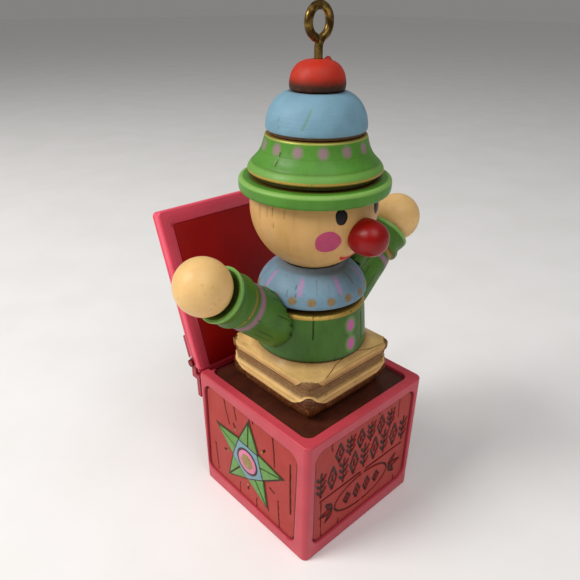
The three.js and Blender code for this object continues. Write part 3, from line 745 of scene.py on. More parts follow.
def star(side):
    """Five-pointed star in low relief on a panel: dark ground, green half arms, blue pentagon and rings."""
    place = side_frame(side) @ Matrix.Translation((0, 0, -PANEL_SUNK))
    ground = [star_point(STAR_TIP if k % 2 == 0 else STAR_INNER, 90 + 36 * k) for k in range(10)]
    arms = []
    for k in range(5):
        tip = star_point(STAR_TIP, 90 + 72 * k)
        hub = star_point(1.0, 90 + 72 * k)
        for step in (-36, 36):
            half = [hub, tip, star_point(STAR_INNER, 90 + 72 * k + step)]
            arms.append(plate(offset(np.array(half if step > 0 else half[::-1]), 0.2), 0.02, 0.3, 0.1))
    pentagon = np.array([star_point(STAR_INNER - 0.12, turn) for turn in STAR_ACCENTS])
    layers = [
        ("ground", [plate(offset(np.array(ground), -0.3), -0.1, 0.1)], STAR_DARK, "green_paint"),
        ("arms", arms, STAR_GREEN, "green_paint"),
        ("pentagon_line", [plate(offset(pentagon, -0.2), 0.0, 0.33)], STAR_PLUM, "blue_paint"),
        ("pentagon", [plate(offset(pentagon, 0.12), 0.0, 0.4)], STAR_BLUE, "blue_paint"),
        ("ring_line", [plate(disc(3.55), 0.0, 0.43)], STAR_PLUM, "blue_paint"),
        ("ring", [plate(disc(2.95), 0.0, 0.47)], STAR_PINK, "pink_frame"),
        ("heart", [plate(disc(1.95), 0.0, 0.49)], OLD_GOLD, "brass"),
    ]
    for part, shapes, look, slot in layers:
        finish_piece(solid(f"star_{part}_{side}", shapes, place), look, "root", slot)
    beads = [plate(star_point(7.5, turn) + circle(0.34, 16), -0.2, 0.16, 0.1) for turn in STAR_ACCENTS[:4]]
    finish_piece(solid(f"star_beads_{side}", beads, place), OLD_GOLD, "root", "brass")


def panels():
    carvings = {"front": front_carving(), "left": star_side_carving(), "right": star_side_carving(),
                "rear": plain_carving(5)}
    for side, strokes in carvings.items():
        width, height = SIDES[side][2]
        place = side_frame(side) @ Matrix.Translation((0, 0, -PANEL_SUNK))
        obj = carved_panel(f"{side}_carved_panel", width - 2 * GAP, height - 2 * GAP, PANEL_CORNER - GAP,
                           PANEL_THICK, strokes, place)
        finish_piece(obj, RED, "root", "red_panel", f"{side}_panel")
    star("left")
    star("right")


def deck():
    low, high = span("deck_plate", "z")
    width = span("deck_plate", "x")[1] * 2
    levels = [(low, 0), *quarter(0.25, high - 0.25, 1, 3)]
    obj = solid("deck", [lofted(square(width, RIM_CORNER - GAP), levels)])
    cut_away(obj, [solid("hole", [lofted(circle(2.3, 24), [(low - 1, 0), (high + 1, 0)])])])
    finish_piece(obj, DECK, "root", "brown_deck", "deck_plate")


# ---- Lid, drawn in its own frame: X across, Z up along it, Y back through it ------

LEAN = 17.3
LID_AT = (0, 16.5, BOX_TOP)
LID_BOTTOM, LID_TOP, LID_THICK, LID_CORNER = 0.15, 35.3, 2.7, 1.0
LID_FIELD, LID_POCKET = 14.4, 1.15
LID_NOTCH_DEPTH, LID_NOTCH_TOP = 1.4, 3.35
LID_BACK_MARGIN, LID_BACK_BOTTOM, LID_BACK_POCKET = 2.6, 4.4, 0.7
LID_LIP_HALF, LID_LIP_BOTTOM = 17.1, -0.6

lid_frame = Matrix.Translation(LID_AT) @ Matrix.Rotation(math.radians(-LEAN), 4, "X")
# From (across, up along the lid, forward) to the lid's frame: height 0 is its front face.
lid_front = lid_frame @ Matrix(((1, 0, 0, 0), (0, 0, -1, 0), (0, 1, 0, 0), (0, 0, 0, 1)))
# The same seen from behind: height 0 is its back face.
lid_back = lid_frame @ Matrix(((-1, 0, 0, 0), (0, 0, 1, LID_THICK), (0, 1, 0, 0), (0, 0, 0, 1)))


def lid_frame_piece():
    outline = rounded_rectangle(-BOX_HALF, BOX_HALF, LID_BOTTOM, LID_TOP, LID_CORNER)
    groove = [(-1.55, 0), (-1.63, 0.14), (-1.77, 0.14), (-1.85, 0)]
    back = [(-LID_THICK + 0.4 - h, i) for h, i in quarter(0.4, 0, 1)]
    front = [(h - 0.5, i) for h, i in quarter(0.5, 0, 1)]
    obj = solid("lid_frame", [lofted(outline, back[::-1] + groove[::-1] + front)], lid_front)
    top = LID_TOP - BOX_HALF + LID_FIELD
    field = rounded_rectangle(-LID_FIELD, LID_FIELD, -4, top, 0.6)
    slope = [(-LID_POCKET, 0), (-0.66, 0), (-0.2, -1.35), (-0.1, -1.6), (-0.03, -1.85), (0.0, -2.05),
             (0.4, -2.2)]
    notches = []
    for side in ("left", "right"):
        x0, x1 = span(f"hinge_pin_{side}", "x")
        low, high = (x0 - 0.3, -1, -5), (x1 + 0.3, LID_NOTCH_TOP, -LID_NOTCH_DEPTH)
        notches.append(slab("notch", low, high, lid_front))
    side = BOX_HALF - LID_BACK_MARGIN
    rear = rounded_rectangle(-side, side, LID_BACK_BOTTOM, LID_TOP - LID_BACK_MARGIN, PANEL_CORNER)
    lower = rounded_rectangle(-LID_LIP_HALF, LID_LIP_HALF, LID_LIP_BOTTOM, LID_BOTTOM + 1, 0.2)
    levels = [(-LID_THICK, 0.12), (-LID_THICK + 0.12, 0), (-LID_POCKET, 0)]
    lip = solid("lip", [lofted(lower, levels)], lid_front)
    cut_away(obj, [lip], "UNION")
    cut_away(obj, [
        solid("field", [lofted(field, slope)], lid_front),
        solid("rear field", [lofted(rear, flared(LID_BACK_POCKET, 0.25))], lid_back),
        *notches,
    ])
    finish_piece(obj, LIT_PINK, "lid", "pink_frame", "lid_shell")


def lid_panels():
    side, top = LID_FIELD - GAP, LID_TOP - BOX_HALF + LID_FIELD - GAP
    outline = rounded_rectangle(-side, side, 0.25, top, 0.45)
    front = -LID_POCKET + GAP / 2
    shape = lofted(outline, [(front, 0), *quarter(0.1, front + 0.32, 1, 2)])
    finish_piece(solid("lid_field", [shape], lid_front), DEEP_RED, "lid", "deep_red_panel", "lid_inner_panel")
    low, high = LID_BACK_BOTTOM + GAP, LID_TOP - LID_BACK_MARGIN - GAP
    width = 2 * (BOX_HALF - LID_BACK_MARGIN - GAP)
    place = lid_back @ Matrix.Translation((0, (low + high) / 2, -LID_BACK_POCKET + 0.52))
    strokes = [([(u, v * 1.08) for u, v in points], broad, depth * 0.6)
               for points, broad, depth in plain_carving(11)]
    obj = carved_panel("lid_carved_panel", width, high - low, PANEL_CORNER - GAP, 0.45, strokes, place,
                       edge=0.25)
    finish_piece(obj, RED, "lid", "red_panel", "lid_outer_panel")


# ---- Bellows and spring ----------------------------------------------------

BELLOWS_FOOT, BELLOWS_TOP, BELLOWS_BORE = 31.1, 41.9, 7.5
BELLOWS_HALF, BELLOWS_EDGE, BELLOWS_SEAM = 12.35, 40.6, 38.7
CHAMFER_REACH = 23.7
DRUM_FOOT = 11.2


def bellows_outline(theta, half):
    """Distance from the axis to a chamfered square of that half width."""
    c, s = np.abs(np.cos(theta)), np.abs(np.sin(theta))
    reach = CHAMFER_REACH - (12.3 - half) * 1.5
    power = 40
    return ((c / half) ** power + (s / half) ** power + ((c + s) / reach) ** power) ** (-1 / power)


def bellows():
    folds = soften([(31.1, 10.9), (31.9, 11.2), (32.7, 12.1), (33.3, 12.3), (35.9, 12.35), (36.35, 12.2),
                    (36.8, 11.75), (37.2, 11.6), (38.3, 11.65), (38.7, 11.85), (39.0, 12.2), (39.3, 12.32),
                    (40.2, 12.36), (40.6, 12.2)], 2)
    sides = 760
    theta = (np.arange(sides) + 0.5) * 2 * math.pi / sides
    side = refine(folds, 0.14)
    rings_z = [np.full(sides, z) for z, _ in side]
    rings_r = [bellows_outline(theta, half) for _, half in side]
    kinds = [np.zeros(sides)] * len(side)
    rim = rings_r[-1]
    for g in np.concatenate([[0.985, 0.96], np.linspace(0.92, 0, 24)]):
        fall = (BELLOWS_TOP - BELLOWS_EDGE) * smooth(0.1 + 0.9 * g ** 0.9) * min(1, g * 6)
        rings_r.append(DRUM_FOOT + g * (rim - DRUM_FOOT))
        rings_z.append(np.full(sides, BELLOWS_TOP - fall))
        kinds.append(np.ones(sides))
    for z in (BELLOWS_TOP, BELLOWS_FOOT):
        rings_r.append(np.full(sides, BELLOWS_BORE))
        rings_z.append(np.full(sides, z))
        kinds.append(np.ones(sides))
    r, z, on_top = np.array(rings_r), np.array(rings_z), np.array(kinds)
    theta = np.broadcast_to(theta, r.shape)
    x, y = r * np.sin(theta), -r * np.cos(theta)

    # Brown gussets over the corners: an ogee arch over the seam of the upper tier, and a darker one below it.
    # Their raised lips are kept cream as painted highlights.
    low_side = 1 - on_top
    ax, ay = BELLOWS_HALF - np.abs(x), BELLOWS_HALF - np.abs(y)
    lateral = np.abs(ax - ay)
    outer = r > DRUM_FOOT + 0.02
    height = np.where(on_top > 0, BELLOWS_EDGE - BELLOWS_SEAM + np.minimum(ax, ay), z - BELLOWS_SEAM)
    arch = 3.2 * smooth(1 - lateral / 4.9)
    upper = smooth((arch - height) / 0.3 + 0.5) * smooth((height + 0.35) / 0.3) * outer * (lateral < 4.9)
    brow = 34.5 + 2.4 * smooth(1 - lateral / 5.4)
    lower = smooth((brow - z) / 0.25 + 0.5) * low_side
    # Painted highlights: the lips along the gussets' tops (brim below, crest above) are raised and kept free
    # of brown.
    brim = smooth(1 - abs(z - brow - 0.25) / 0.35) * smooth((5.6 - lateral) / 0.8) * low_side
    crest_highlight = smooth(1 - abs(height - arch - 0.22) / 0.3) * outer * (lateral < 4.6) * smooth(arch / 0.5)
    sunk = 0.26 * upper + 0.3 * lower * smooth((6 - lateral) / 1.5)
    r = r - sunk * low_side + (0.16 * brim + 0.08 * crest_highlight) * low_side
    z = z - (0.26 * upper - 0.08 * crest_highlight) * on_top
    x, y = r * np.sin(theta), -r * np.cos(theta)

    # Seams along the sides, and page-like lines on the front and rear of the top face.
    along = np.where(np.abs(x) > np.abs(y), y, x)
    front = (np.abs(y) > np.abs(x)) * 1.0
    fine = carve(along, z, [([(-11.9, h), (11.9, h + d)], w, 0.1) for h, d, w in (
        (39.55, 0.1, 0.2), (38.1, 0.15, 0.24), (37.5, -0.2, 0.2), (34.4, 0.1, 0.22), (35.4, 0.25, 0.14))])
    inward = BELLOWS_HALF - np.maximum(np.abs(x), np.abs(y))
    page = front * carve(along, inward, [
        ([(-7.5, 0.3), (-4, 1.3), (2, 1.5), (11, 0.7)], 0.26, 0.13), ([(-8, 0.2), (10, 0.35)], 0.2, 0.1),
        ([(0, 0.9), (9, 1.0)], 0.16, 0.08)])
    r = r - fine * low_side
    z = z - page * on_top
    x, y = r * np.sin(theta), -r * np.cos(theta)

    groove = band(z, 36.5, 38.75, 0.7) * low_side
    foot = smooth((34.5 - z) / 0.9) * low_side
    seam = band(z, 38.8, 39.25, 0.25) * low_side
    # Painted shade: the top face darkens towards the drum's foot.
    ring = smooth((12.9 - r) / 1.8) * on_top * 0.6
    # A tan band on the upper tier's sides, with painted shade added on the front and rear faces.
    tan_and_front_shade = (0.3 + 0.25 * front) * band(z, 38.9, 40.5, 0.6) * low_side
    tan_and_front_shade = tan_and_front_shade + 0.2 * front * band(z, 33, 36.4, 1) * low_side
    stain_and_shade = np.maximum.reduce([upper * 0.8, lower, groove * 0.8 * (1 - brim), foot * 0.9, seam, ring,
                               (fine + page) / 0.1 * 0.6]) * (1 - 0.8 * brim) * (1 - 0.6 * crest_highlight)
    points = np.stack([x, y, z], axis=-1).reshape(-1, 3)
    layers = {"stain_and_shade": np.clip(stain_and_shade, 0, 1), "light": np.clip(tan_and_front_shade, 0, 1)}
    obj = add_object("bellows_folds", points, ring_faces(len(r), sides, True), layers, sharp=50)
    finish_piece(obj, CREAM, "root", "cream_wood", "bellows")
    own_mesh(obj)


def spring():
    low, high = span("coil_spring", "z")
    wire, radius, turns = 0.4, 6.2, 4.5
    share = np.linspace(0, 1, 260)
    angle = share * turns * 2 * math.pi
    ends = smooth(np.clip((share - 0.06) / 0.88, 0, 1)) * 0.35 + np.clip((share - 0.08) / 0.84, 0, 1) * 0.65
    height = low + wire + ends * (high - low - 2 * wire)
    path = np.c_[radius * np.cos(angle), radius * np.sin(angle), height]
    obj = finish_piece(tube("spring_coils", path, wire, 12), STEEL, "root", "spring_steel", "coil_spring")
    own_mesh(obj)


# ---- Jack ------------------------------------------------------------------

def scratch(width, depth, *stops):
    """Stroke on a turned piece through (degrees round from the front, height)."""
    return ([(math.radians(turn), height) for turn, height in stops], width, depth)


def cracks(count, low, high, shortest, longest, width, depth, seed, spread=(-180, 180)):
    """Upright cracks (angle in radians, height) scattered round a turned piece."""
    draw = np.random.default_rng(seed)
    strokes = []
    for turn in np.linspace(*spread, count, endpoint=False):
        turn = math.radians(turn + draw.uniform(-0.4, 0.4) * (spread[1] - spread[0]) / count)
        length = draw.uniform(shortest, longest)
        top = draw.uniform(low + length, high)
        strokes.append(([(turn, top), (turn + draw.uniform(-0.01, 0.01), top - length)],
                        width * draw.uniform(0.7, 1.2), depth * draw.uniform(0.6, 1.0)))
    return strokes


def round_carve(theta, r, z, strokes):
    """Depth of strokes given as (angle, height) on a turned piece."""
    return carve(theta, z, strokes, np.maximum(r, 0.1), 2 * math.pi)


def dots(theta, r, z, count, height, radius, start=0.0, tall=1.0, soft=0.35):
    """Painted dots evenly round a turned piece, from 0 to 1."""
    away = wrapped(theta - start, 2 * math.pi / count)
    return smooth((radius - np.hypot(away * r, (z - height) / tall)) / soft + 0.5)


BUTTON_HEIGHTS = (48.7, 44.75)


def drum():
    low, high = span("body_drum", "z")
    lines = [scratch(0.34, 0.2, (-42, high - 0.1), (-42.4, 47.1)),
             scratch(0.26, 0.14, (-59, 48.2), (-59, low)),
             scratch(0.24, 0.12, (-20, 45.4), (-20.3, low)),
             scratch(0.34, 0.2, (19, 50), (19.4, 44.2))]
    lines += cracks(9, low, high - 0.5, 2.5, 7, 0.34, 0.18, 21, (30, 300))

    def paint(theta, r, z):
        depth = round_carve(theta, r, z, lines) * (r > 8)
        flat_top = smooth((z - high + 0.16) / 0.1)
        bevel = band(z, high - 0.7, high + 0.2, 0.1) * (1 - 0.5 * flat_top) * (r > 9)
        button, halo = (sum(dots(theta, r, z, 1, h, radius, 0.0, 1.3, soft) for h in BUTTON_HEIGHTS) * (r > 9)
                        for radius, soft in ((0.95, 0.4), (1.5, 0.7)))
        foot = smooth((low + 0.9 - z) / 0.9) * 0.8
        stain_and_shade = strongest(depth / 0.16, foot, flat_top * 0.8 * (r > 3))
        return {"depth": depth, "stain_and_shade": stain_and_shade, "gold": np.maximum(bevel, flat_top * 0.5), "accent": button,
                "light": halo * 0.4}

    profile = [(2.15, low + 2), (7.7, low + 2), (7.7, low + 2), (7.7, low), (7.7, low), (10.9, low),
               (11.35, low + 0.15), (11.38, low + 0.6), (10.62, high - 0.75), (10.5, high - 0.5),
               (10.15, high - 0.08), (9.8, high), (2.35, high)]
    obj = turned("drum", profile, paint, bore=2.2)
    finish_piece(obj, DRUM_GREEN, "jack", "green_paint", "body_drum")


HEAD_AT, HEAD_RADIUS, HEAD_TOP = 70.1, 11.9, span("head_ball", "z")[1]


def head_cup(r):
    """Point of the cup under the head at a radius."""
    return (r, HEAD_AT - math.sqrt((HEAD_RADIUS + 0.3) ** 2 - r ** 2))


COLLAR_STRIPES, COLLAR_SPOTS = 8, 18


def collar():
    low = span("collar", "z")[0]
    lip = 6.3
    lines = cracks(26, 54.6, 58.4, 0.8, 2.2, 0.16, 0.07, 31)
    lines.append(scratch(0.16, 0.08, (-64, 57.6), (-61, 54.6)))

    def paint(theta, r, z):
        depth = round_carve(theta, r, z, lines) * (z > 54)
        away = wrapped(theta - math.radians(-13), 2 * math.pi / COLLAR_STRIPES) * r
        stripe = smooth((0.42 - abs(away)) / 0.3 + 0.5) * band(z, 55.7, 58.2, 0.7)
        spots = dots(theta, r, z, COLLAR_SPOTS, 54.75, 0.78, math.radians(-5), 0.9, 0.45) * (r > 9)
        under = smooth((53.35 - z) / 0.4)
        # Painted shade: the collar darkens towards the neck, under the head.
        neck = 0.45 * smooth((7.6 - r) / 1.4) * (z > 57)
        stain_and_shade = strongest(depth / 0.06 * 0.6, spots * 0.8, under, neck)
        return {"depth": depth, "stain_and_shade": stain_and_shade, "accent": stripe * 0.6, "gold": spots * 0.4}

    profile = [(2.35, low), (8.6, low), (8.6, low), (8.9, 52.6), (9.6, 52.98), (10.3, 53.08), (10.72, 53.25),
               (10.85, 53.7), (10.72, 54.35), (10.3, 55.5), (9.5, 56.7), (8.4, 57.8), (7.4, 58.4),
               (lip, 58.8), (lip - 0.25, head_cup(lip)[1] + 0.1), head_cup(5.4), head_cup(4.0),
               head_cup(2.35)]
    obj = turned("collar_dome", profile, paint, bore=2.35)
    finish_piece(obj, COLLAR_BLUE, "jack", "blue_paint", "collar")


ARM_ANGLE, HAND_REACH, HAND_HEIGHT, HAND_RADIUS = 38, 25.7, 61.4, 5.1
SLEEVE_RINGS, SLEEVE_LIMIT = 45, 27


def arm_place(sign):
    """From a piece drawn along +Z, with its hand's centre at 0, to the arm at +X or -X."""
    ahead = Vector((-sign * math.cos(math.radians(ARM_ANGLE)), 0, -math.sin(math.radians(ARM_ANGLE))))
    turn = Vector((0, 0, 1)).rotation_difference(ahead).to_matrix().to_4x4()
    return Matrix.Translation((sign * HAND_REACH, 0, HAND_HEIGHT)) @ turn


def torso_radius(z):
    """Radius of the room that the drum and the collar take at a height."""
    cone = 11.4 + (z - 42) / 9.8 * (10.55 - 11.4)
    return np.where(z < 51.9, cone, np.where(z < 52.2, 10.6, 10.85)) + 0.18


def coped_end(r, theta, place, start, stop):
    """How far along the arm each line of a sleeve runs before it meets the torso."""
    along = np.arange(start, stop, 0.04)
    x, y = r * np.sin(theta), -r * np.cos(theta)
    ends = np.full(theta.shape, stop)
    for i, (a, b) in enumerate(zip(x, y)):
        line = placed(np.c_[np.full(len(along), a), np.full(len(along), b), along], place)
        hit = np.hypot(line[:, 0], line[:, 1]) < torso_radius(line[:, 2])
        if hit.any():
            ends[i] = along[hit.argmax()]
    return ends


def sleeve(sign, side):
    place = arm_place(sign)
    bore, flat = 1.25, 12.0
    profile = refine(soften([
        (bore, 5.0), (3.1, 4.75), (3.8, 4.45), (4.3, 4.15), (4.7, 3.87), (5.0, 3.85), (5.18, 3.95),
        (5.2, 4.3), (4.9, 5.4), (4.72, 6.1), (4.8, 6.8), (5.05, 7.2), (5.08, 7.8), (4.95, 8.2),
        (4.55, 8.4), (4.25, 8.5),
        (4.2, 8.8), (4.22, 9.25), (4.42, 9.5), (4.55, 10.5), (4.7, 12.0),
    ]), 0.2)
    sides = 160
    theta = np.arange(sides) * 2 * math.pi / sides
    rings = [np.c_[np.full(sides, r), np.full(sides, t)] for r, t in profile]
    ends = coped_end(5.05, theta, place, flat, SLEEVE_LIMIT)
    for share in np.linspace(0, 1, SLEEVE_RINGS + 1)[1:]:
        t = flat + (ends - flat) * share
        rings.append(np.c_[4.7 + 0.36 * smooth((t - flat) / 8), t])
    for r in (4.9, 4.2, 3.0, 2.0, bore):
        rings.append(np.c_[np.full(sides, r), coped_end(r, theta, place, flat, SLEEVE_LIMIT)])
    grid = np.array(rings)
    r, t = grid[..., 0], grid[..., 1]
    theta = np.broadcast_to(theta, r.shape)
    outer = np.zeros(r.shape)
    last = len(profile) + SLEEVE_RINGS
    outer[len(profile) // 3: last] = 1
    lines = cracks(14, 12.3, 19, 1.6, 5, 0.26, 0.14, 40 + sign)
    lines += cracks(6, 9.9, 12, 1.0, 2.0, 0.3, 0.14, 50 + sign)
    depth = round_carve(theta, r, t, lines) * outer
    # Painted highlight: the cuff's lip is painted a lighter green.
    lip = band(t, 3.8, 4.6, 0.3) * (r > 4.6)
    # Painted shade in the cuff's hollow round the hand.
    inside = smooth((4.45 - r) / 0.8) * smooth((6.5 - t) / 0.8)
    groove = band(t, 8.25, 9.35, 0.25) * outer
    near = np.zeros(r.shape)
    near[last - 9: last] = np.linspace(0, 0.5, 9)[:, None]
    stain_and_shade = strongest(depth / 0.14, inside * 0.75, groove * 0.9, near)
    layers = {"stain_and_shade": stain_and_shade, "light": lip * 0.8, "gold": groove * 0.55,
              "accent": band(t, 10.1, 11.2, 0.6) * outer * 0.55}
    r = r - depth
    points = placed(np.stack([r * np.sin(theta), -r * np.cos(theta), t], axis=-1).reshape(-1, 3), place)
    obj = add_object(f"sleeve_{side}_coat", points, ring_faces(len(grid), sides, True), layers, sharp=50)
    finish_piece(obj, SLEEVE_GREEN, "jack", "green_paint", f"sleeve_{side}")


def hand(sign, side):
    turns = np.radians(np.linspace(-90, 75.8, 60))
    ball = [(HAND_RADIUS * math.cos(a), HAND_RADIUS * math.sin(a)) for a in turns]
    ball[0] = (0.0, -HAND_RADIUS)
    draw = np.random.default_rng(70 + sign)
    specks = [(draw.uniform(-math.pi, math.pi), draw.uniform(-4.4, 3.5)) for _ in range(26)]

    def paint(theta, r, z):
        stain_and_shade = 0
        for angle, height in specks:
            away = np.hypot(wrapped(theta - angle) * r, z - height)
            stain_and_shade = stain_and_shade + smooth((draw.uniform(0.1, 0.24) - away) / 0.3 + 0.5) * 0.35
        return {"stain_and_shade": np.clip(stain_and_shade, 0, 1)}

    profile = [*ball, (1.25, 1.35), (1.25, 1.35), (0, 1.35)]
    obj = turned(f"hand_{side}_ball", profile, paint, place=arm_place(sign))
    finish_piece(obj, HAND, "jack", "cream_wood", f"hand_{side}")


# ---- Head and hat ----------------------------------------------------------

def head():
    turns = np.linspace(-math.acos(2.35 / HEAD_RADIUS), math.asin((HEAD_TOP - HEAD_AT) / HEAD_RADIUS), 90)
    ball = [(HEAD_RADIUS * math.cos(a), HEAD_AT + HEAD_RADIUS * math.sin(a)) for a in turns]
    lines = [scratch(width, depth, (top, 72.6), (foot, low)) for width, depth, top, foot, low in (
        (0.26, 0.08, -82, -81, 68.8), (0.5, 0.05, -98, -97, 69.6), (0.4, 0.05, -88, -88, 70.4),
        (0.4, 0.05, -70, -70, 70.8), (0.3, 0.1, -118, -119, 67.0), (0.3, 0.1, 100, 101, 66.5),
        (0.3, 0.1, 150, 149, 68))]

    def paint(theta, r, z):
        depth = round_carve(theta, r, z, lines) * (r > 6)
        return {"depth": depth, "stain_and_shade": np.clip(depth / 0.09, 0, 1) * 0.7}

    profile = [(0, 64.15), (2.35, 64.15), (2.35, 64.15), *ball, ball[-1], (1.95, HEAD_TOP), (1.95, HEAD_TOP),
               (1.95, 66.85), (1.95, 66.85), (0, 66.85)]
    obj = turned("face_ball", profile, paint)
    finish_piece(obj, FACE, "head", "face_wood", "head_ball")


def on_head(turn, tilt, lift=0.0):
    """Point on the head at an angle round from the front and an elevation, in radians."""
    r = HEAD_RADIUS + lift
    level = r * np.cos(tilt)
    return np.stack([level * np.sin(turn), -level * np.cos(turn), HEAD_AT + r * np.sin(tilt)], axis=-1)


def face_paint(name, turn, tilt, half_width, half_height, thickness, look, slot, bend=0.0, lean=0.0):
    """Domed spot of paint on the head; bend curves a long one upward at its ends."""
    sides, rings = 48, 9
    angles = np.arange(sides) * 2 * math.pi / sides
    shares = np.concatenate([[1.0], np.linspace(1, 0, rings)])
    heights = np.concatenate([[-0.06], thickness * np.sqrt(1 - np.linspace(1, 0, rings) ** 2 * 0.995)])
    share, angle = shares[:, None], angles[None, :]
    wobble = 1 + 0.02 * np.sin(3 * angle + turn * 5) + 0.015 * np.sin(5 * angle + 1.0)
    a = half_width * share * np.cos(angle) * wobble
    b = half_height * share * np.sin(angle) * wobble + bend * (a / half_width) ** 2
    a, b = a * math.cos(lean) - b * math.sin(lean), a * math.sin(lean) + b * math.cos(lean)
    tilts = math.radians(tilt) + b / HEAD_RADIUS
    turns = math.radians(turn) + a / (HEAD_RADIUS * np.cos(tilts))
    points = on_head(turns, tilts, heights[:, None]).reshape(-1, 3)
    faces = ring_faces(len(shares), sides) + [tuple(range(sides))[::-1]]
    obj = add_object(name, points, faces, sharp=80)
    finish_piece(obj, look, "head", slot)


def face():
    for side, sign in (("right", -1), ("left", 1)):
        face_paint(f"eye_{side}", sign * 22.3, 5.7, 1.12, 1.38, 0.14, BLACK, "nose_red", lean=-0.12 * sign)
        face_paint(f"cheek_{side}", sign * 32.3, -16, 2.35, 2.2, 0.05, CHEEK, "pink_frame")
    face_paint("mouth", 0, -42.8, 2.5, 0.68, 0.09, LIPS, "nose_red", bend=1.25)


def nose():
    """Egg on a peg, its back cut to the head where the head stands in its way."""
    centre_z, peg, peg_end, back = 67.2, 1.2, 7.3, 11.0
    profile = refine(soften([(2.7, back), (3.0, back + 0.3), (3.18, 12.0), (3.26, 12.9), (3.18, 14.2),
                             (2.85, 15.4), (2.2, 16.3), (1.3, 16.88), (0.5, 17.05), (0, 17.05)]), 0.12)
    sides = 120
    theta = np.arange(sides) * 2 * math.pi / sides
    stops = [(r, t, HEAD_RADIUS + 0.06) for r, t in [*profile[::-1], (1.9, back), (peg, back)]]
    stops += [(peg, peg_end, 0), (0, peg_end, 0)]
    rings = []
    for r, t, kept_off in stops:
        x, z = r * np.sin(theta), centre_z + r * np.cos(theta)
        clear = np.sqrt(np.maximum(0, kept_off ** 2 - x ** 2 - (z - HEAD_AT) ** 2))
        rings.append(np.stack([x, -np.maximum(t, clear), z], axis=-1))
    obj = add_object("nose_egg", np.vstack(rings), ring_faces(len(rings), sides), sharp=50)
    finish_piece(obj, NOSE, "head", "nose_red", "nose")


HAT_BORE, EYE_BORE = 1.95, 0.85
FLARE_DOTS = 14


def brim():
    low, high = span("hat_brim", "z")

    def paint(theta, r, z):
        under = smooth((11.9 - r) / 0.5) * smooth((low + 0.6 - z) / 0.4) * 0.8
        near = smooth((12.3 - r) / 0.9) * smooth((z - high + 0.3) / 0.2) * 0.9
        edge = band(z, 74.95, 75.6, 0.3) * (r > 12.9) * 0.7
        return {"stain_and_shade": np.clip(under + near, 0, 1), "light": edge}

    profile = [(HAT_BORE, low), (12.9, low), (13.5, low + 0.1), (13.75, low + 0.45), (13.8, low + 0.9),
               (13.8, high - 0.7), (13.72, high - 0.3), (13.4, high - 0.04), (12.9, high), (HAT_BORE, high)]
    obj = turned("brim", profile, paint, bore=HAT_BORE)
    finish_piece(obj, GREEN, "head", "green_paint", "hat_brim")


def flare():
    low, high = span("hat_flare", "z")
    lines = [scratch(0.2, 0.12, (-83, 80.9), (-84.5, 78.9))]
    lines += cracks(5, 77.6, 81.8, 1.2, 2.4, 0.18, 0.1, 61, (20, 260))

    def paint(theta, r, z):
        depth = round_carve(theta, r, z, lines) * (r > 8)
        ring = 0.07 * band(z, 78.15, 78.4, 0.2) + 0.05 * band(z, 80.1, 80.25, 0.15)
        pink = dots(theta, r, z, FLARE_DOTS, 81.2, 0.85, math.radians(-37.8), 1.0, 0.9) * (r > 8.5)
        neck = smooth((76.45 - z) / 0.2) * (r > 5) * 0.9
        lip = band(z, 76.4, 77.1, 0.12) * (r > 11.35)
        rim = band(z, high - 0.34, high - 0.1, 0.12) * (r > 8)
        top = smooth((z - high + 0.12) / 0.08)
        stain_and_shade = strongest(depth / 0.1, neck, top * 0.95, ring / 0.07 * 0.25)
        light = np.clip(band(z, 76.8, 78.1, 0.6) * 0.35 + rim * 0.6, 0, 1) * (r > 8)
        gold = np.clip(np.maximum(lip, top * 0.5) + rim * 0.5, 0, 1)
        return {"depth": depth + ring * 0.5, "stain_and_shade": stain_and_shade, "gold": gold, "accent": pink * 0.5,
                "light": light}

    profile = [(HAT_BORE, low), (11.0, low), (11.2, low + 0.1), (11.2, 76.25), (11.3, 76.4), (11.85, 76.5),
               (12.12, 76.7), (12.14, 77.05), (11.8, 77.7), (10.95, 78.5), (10.12, 79.4), (9.55, 80.5),
               (9.18, 81.6), (9.0, 82.4), (8.85, high - 0.08), (8.6, high), (HAT_BORE, high)]
    obj = turned("flare", profile, paint, bore=HAT_BORE)
    finish_piece(obj, GREEN, "head", "green_paint", "hat_flare")


def dome():
    low, high = span("hat_dome", "z")
    smear = [scratch(0.6, 0.14, (-52, 87.4), (-55, 86.2), (-60, 84.6))]
    lines = [scratch(0.16, 0.06, (-92, 86.0), (-90, 84.4))]
    lines += cracks(7, 84, 87.5, 0.8, 2.0, 0.14, 0.05, 71, (20, 280))

    def paint(theta, r, z):
        depth = round_carve(theta, r, z, lines) * (z > 83.3)
        turning = 0.012 * np.sin(z * 26) * (z > 83.5)
        under = smooth((83.55 - z) / 0.25) * (r > 4)
        # Painted shade round the pompom's foot on the dome's crown.
        pompom_shade = smooth((5.2 - r) / 0.5) * smooth((z - 89) / 0.3) * 0.5
        scrape = round_carve(theta, r, z, smear) * (z > 83.3) / 0.14
        return {"depth": depth + turning + 0.03 * scrape, "light": np.clip(scrape, 0, 1) * 0.6,
                "stain_and_shade": strongest(depth / 0.14, under, pompom_shade)}

    profile = [(EYE_BORE, low), (8.35, low), (8.4, low + 0.1), (8.42, 83.3), (8.6, 83.38), (8.8, 83.5),
               (8.85, 84.2), (8.62, 85.6), (8.02, 87.0), (7.1, 88.2), (6.0, 89.0), (5.0, 89.35), (4.4, high),
               (EYE_BORE, high)]
    obj = turned("dome", profile, paint, bore=EYE_BORE)
    finish_piece(obj, BLUE, "head", "blue_paint", "hat_dome")


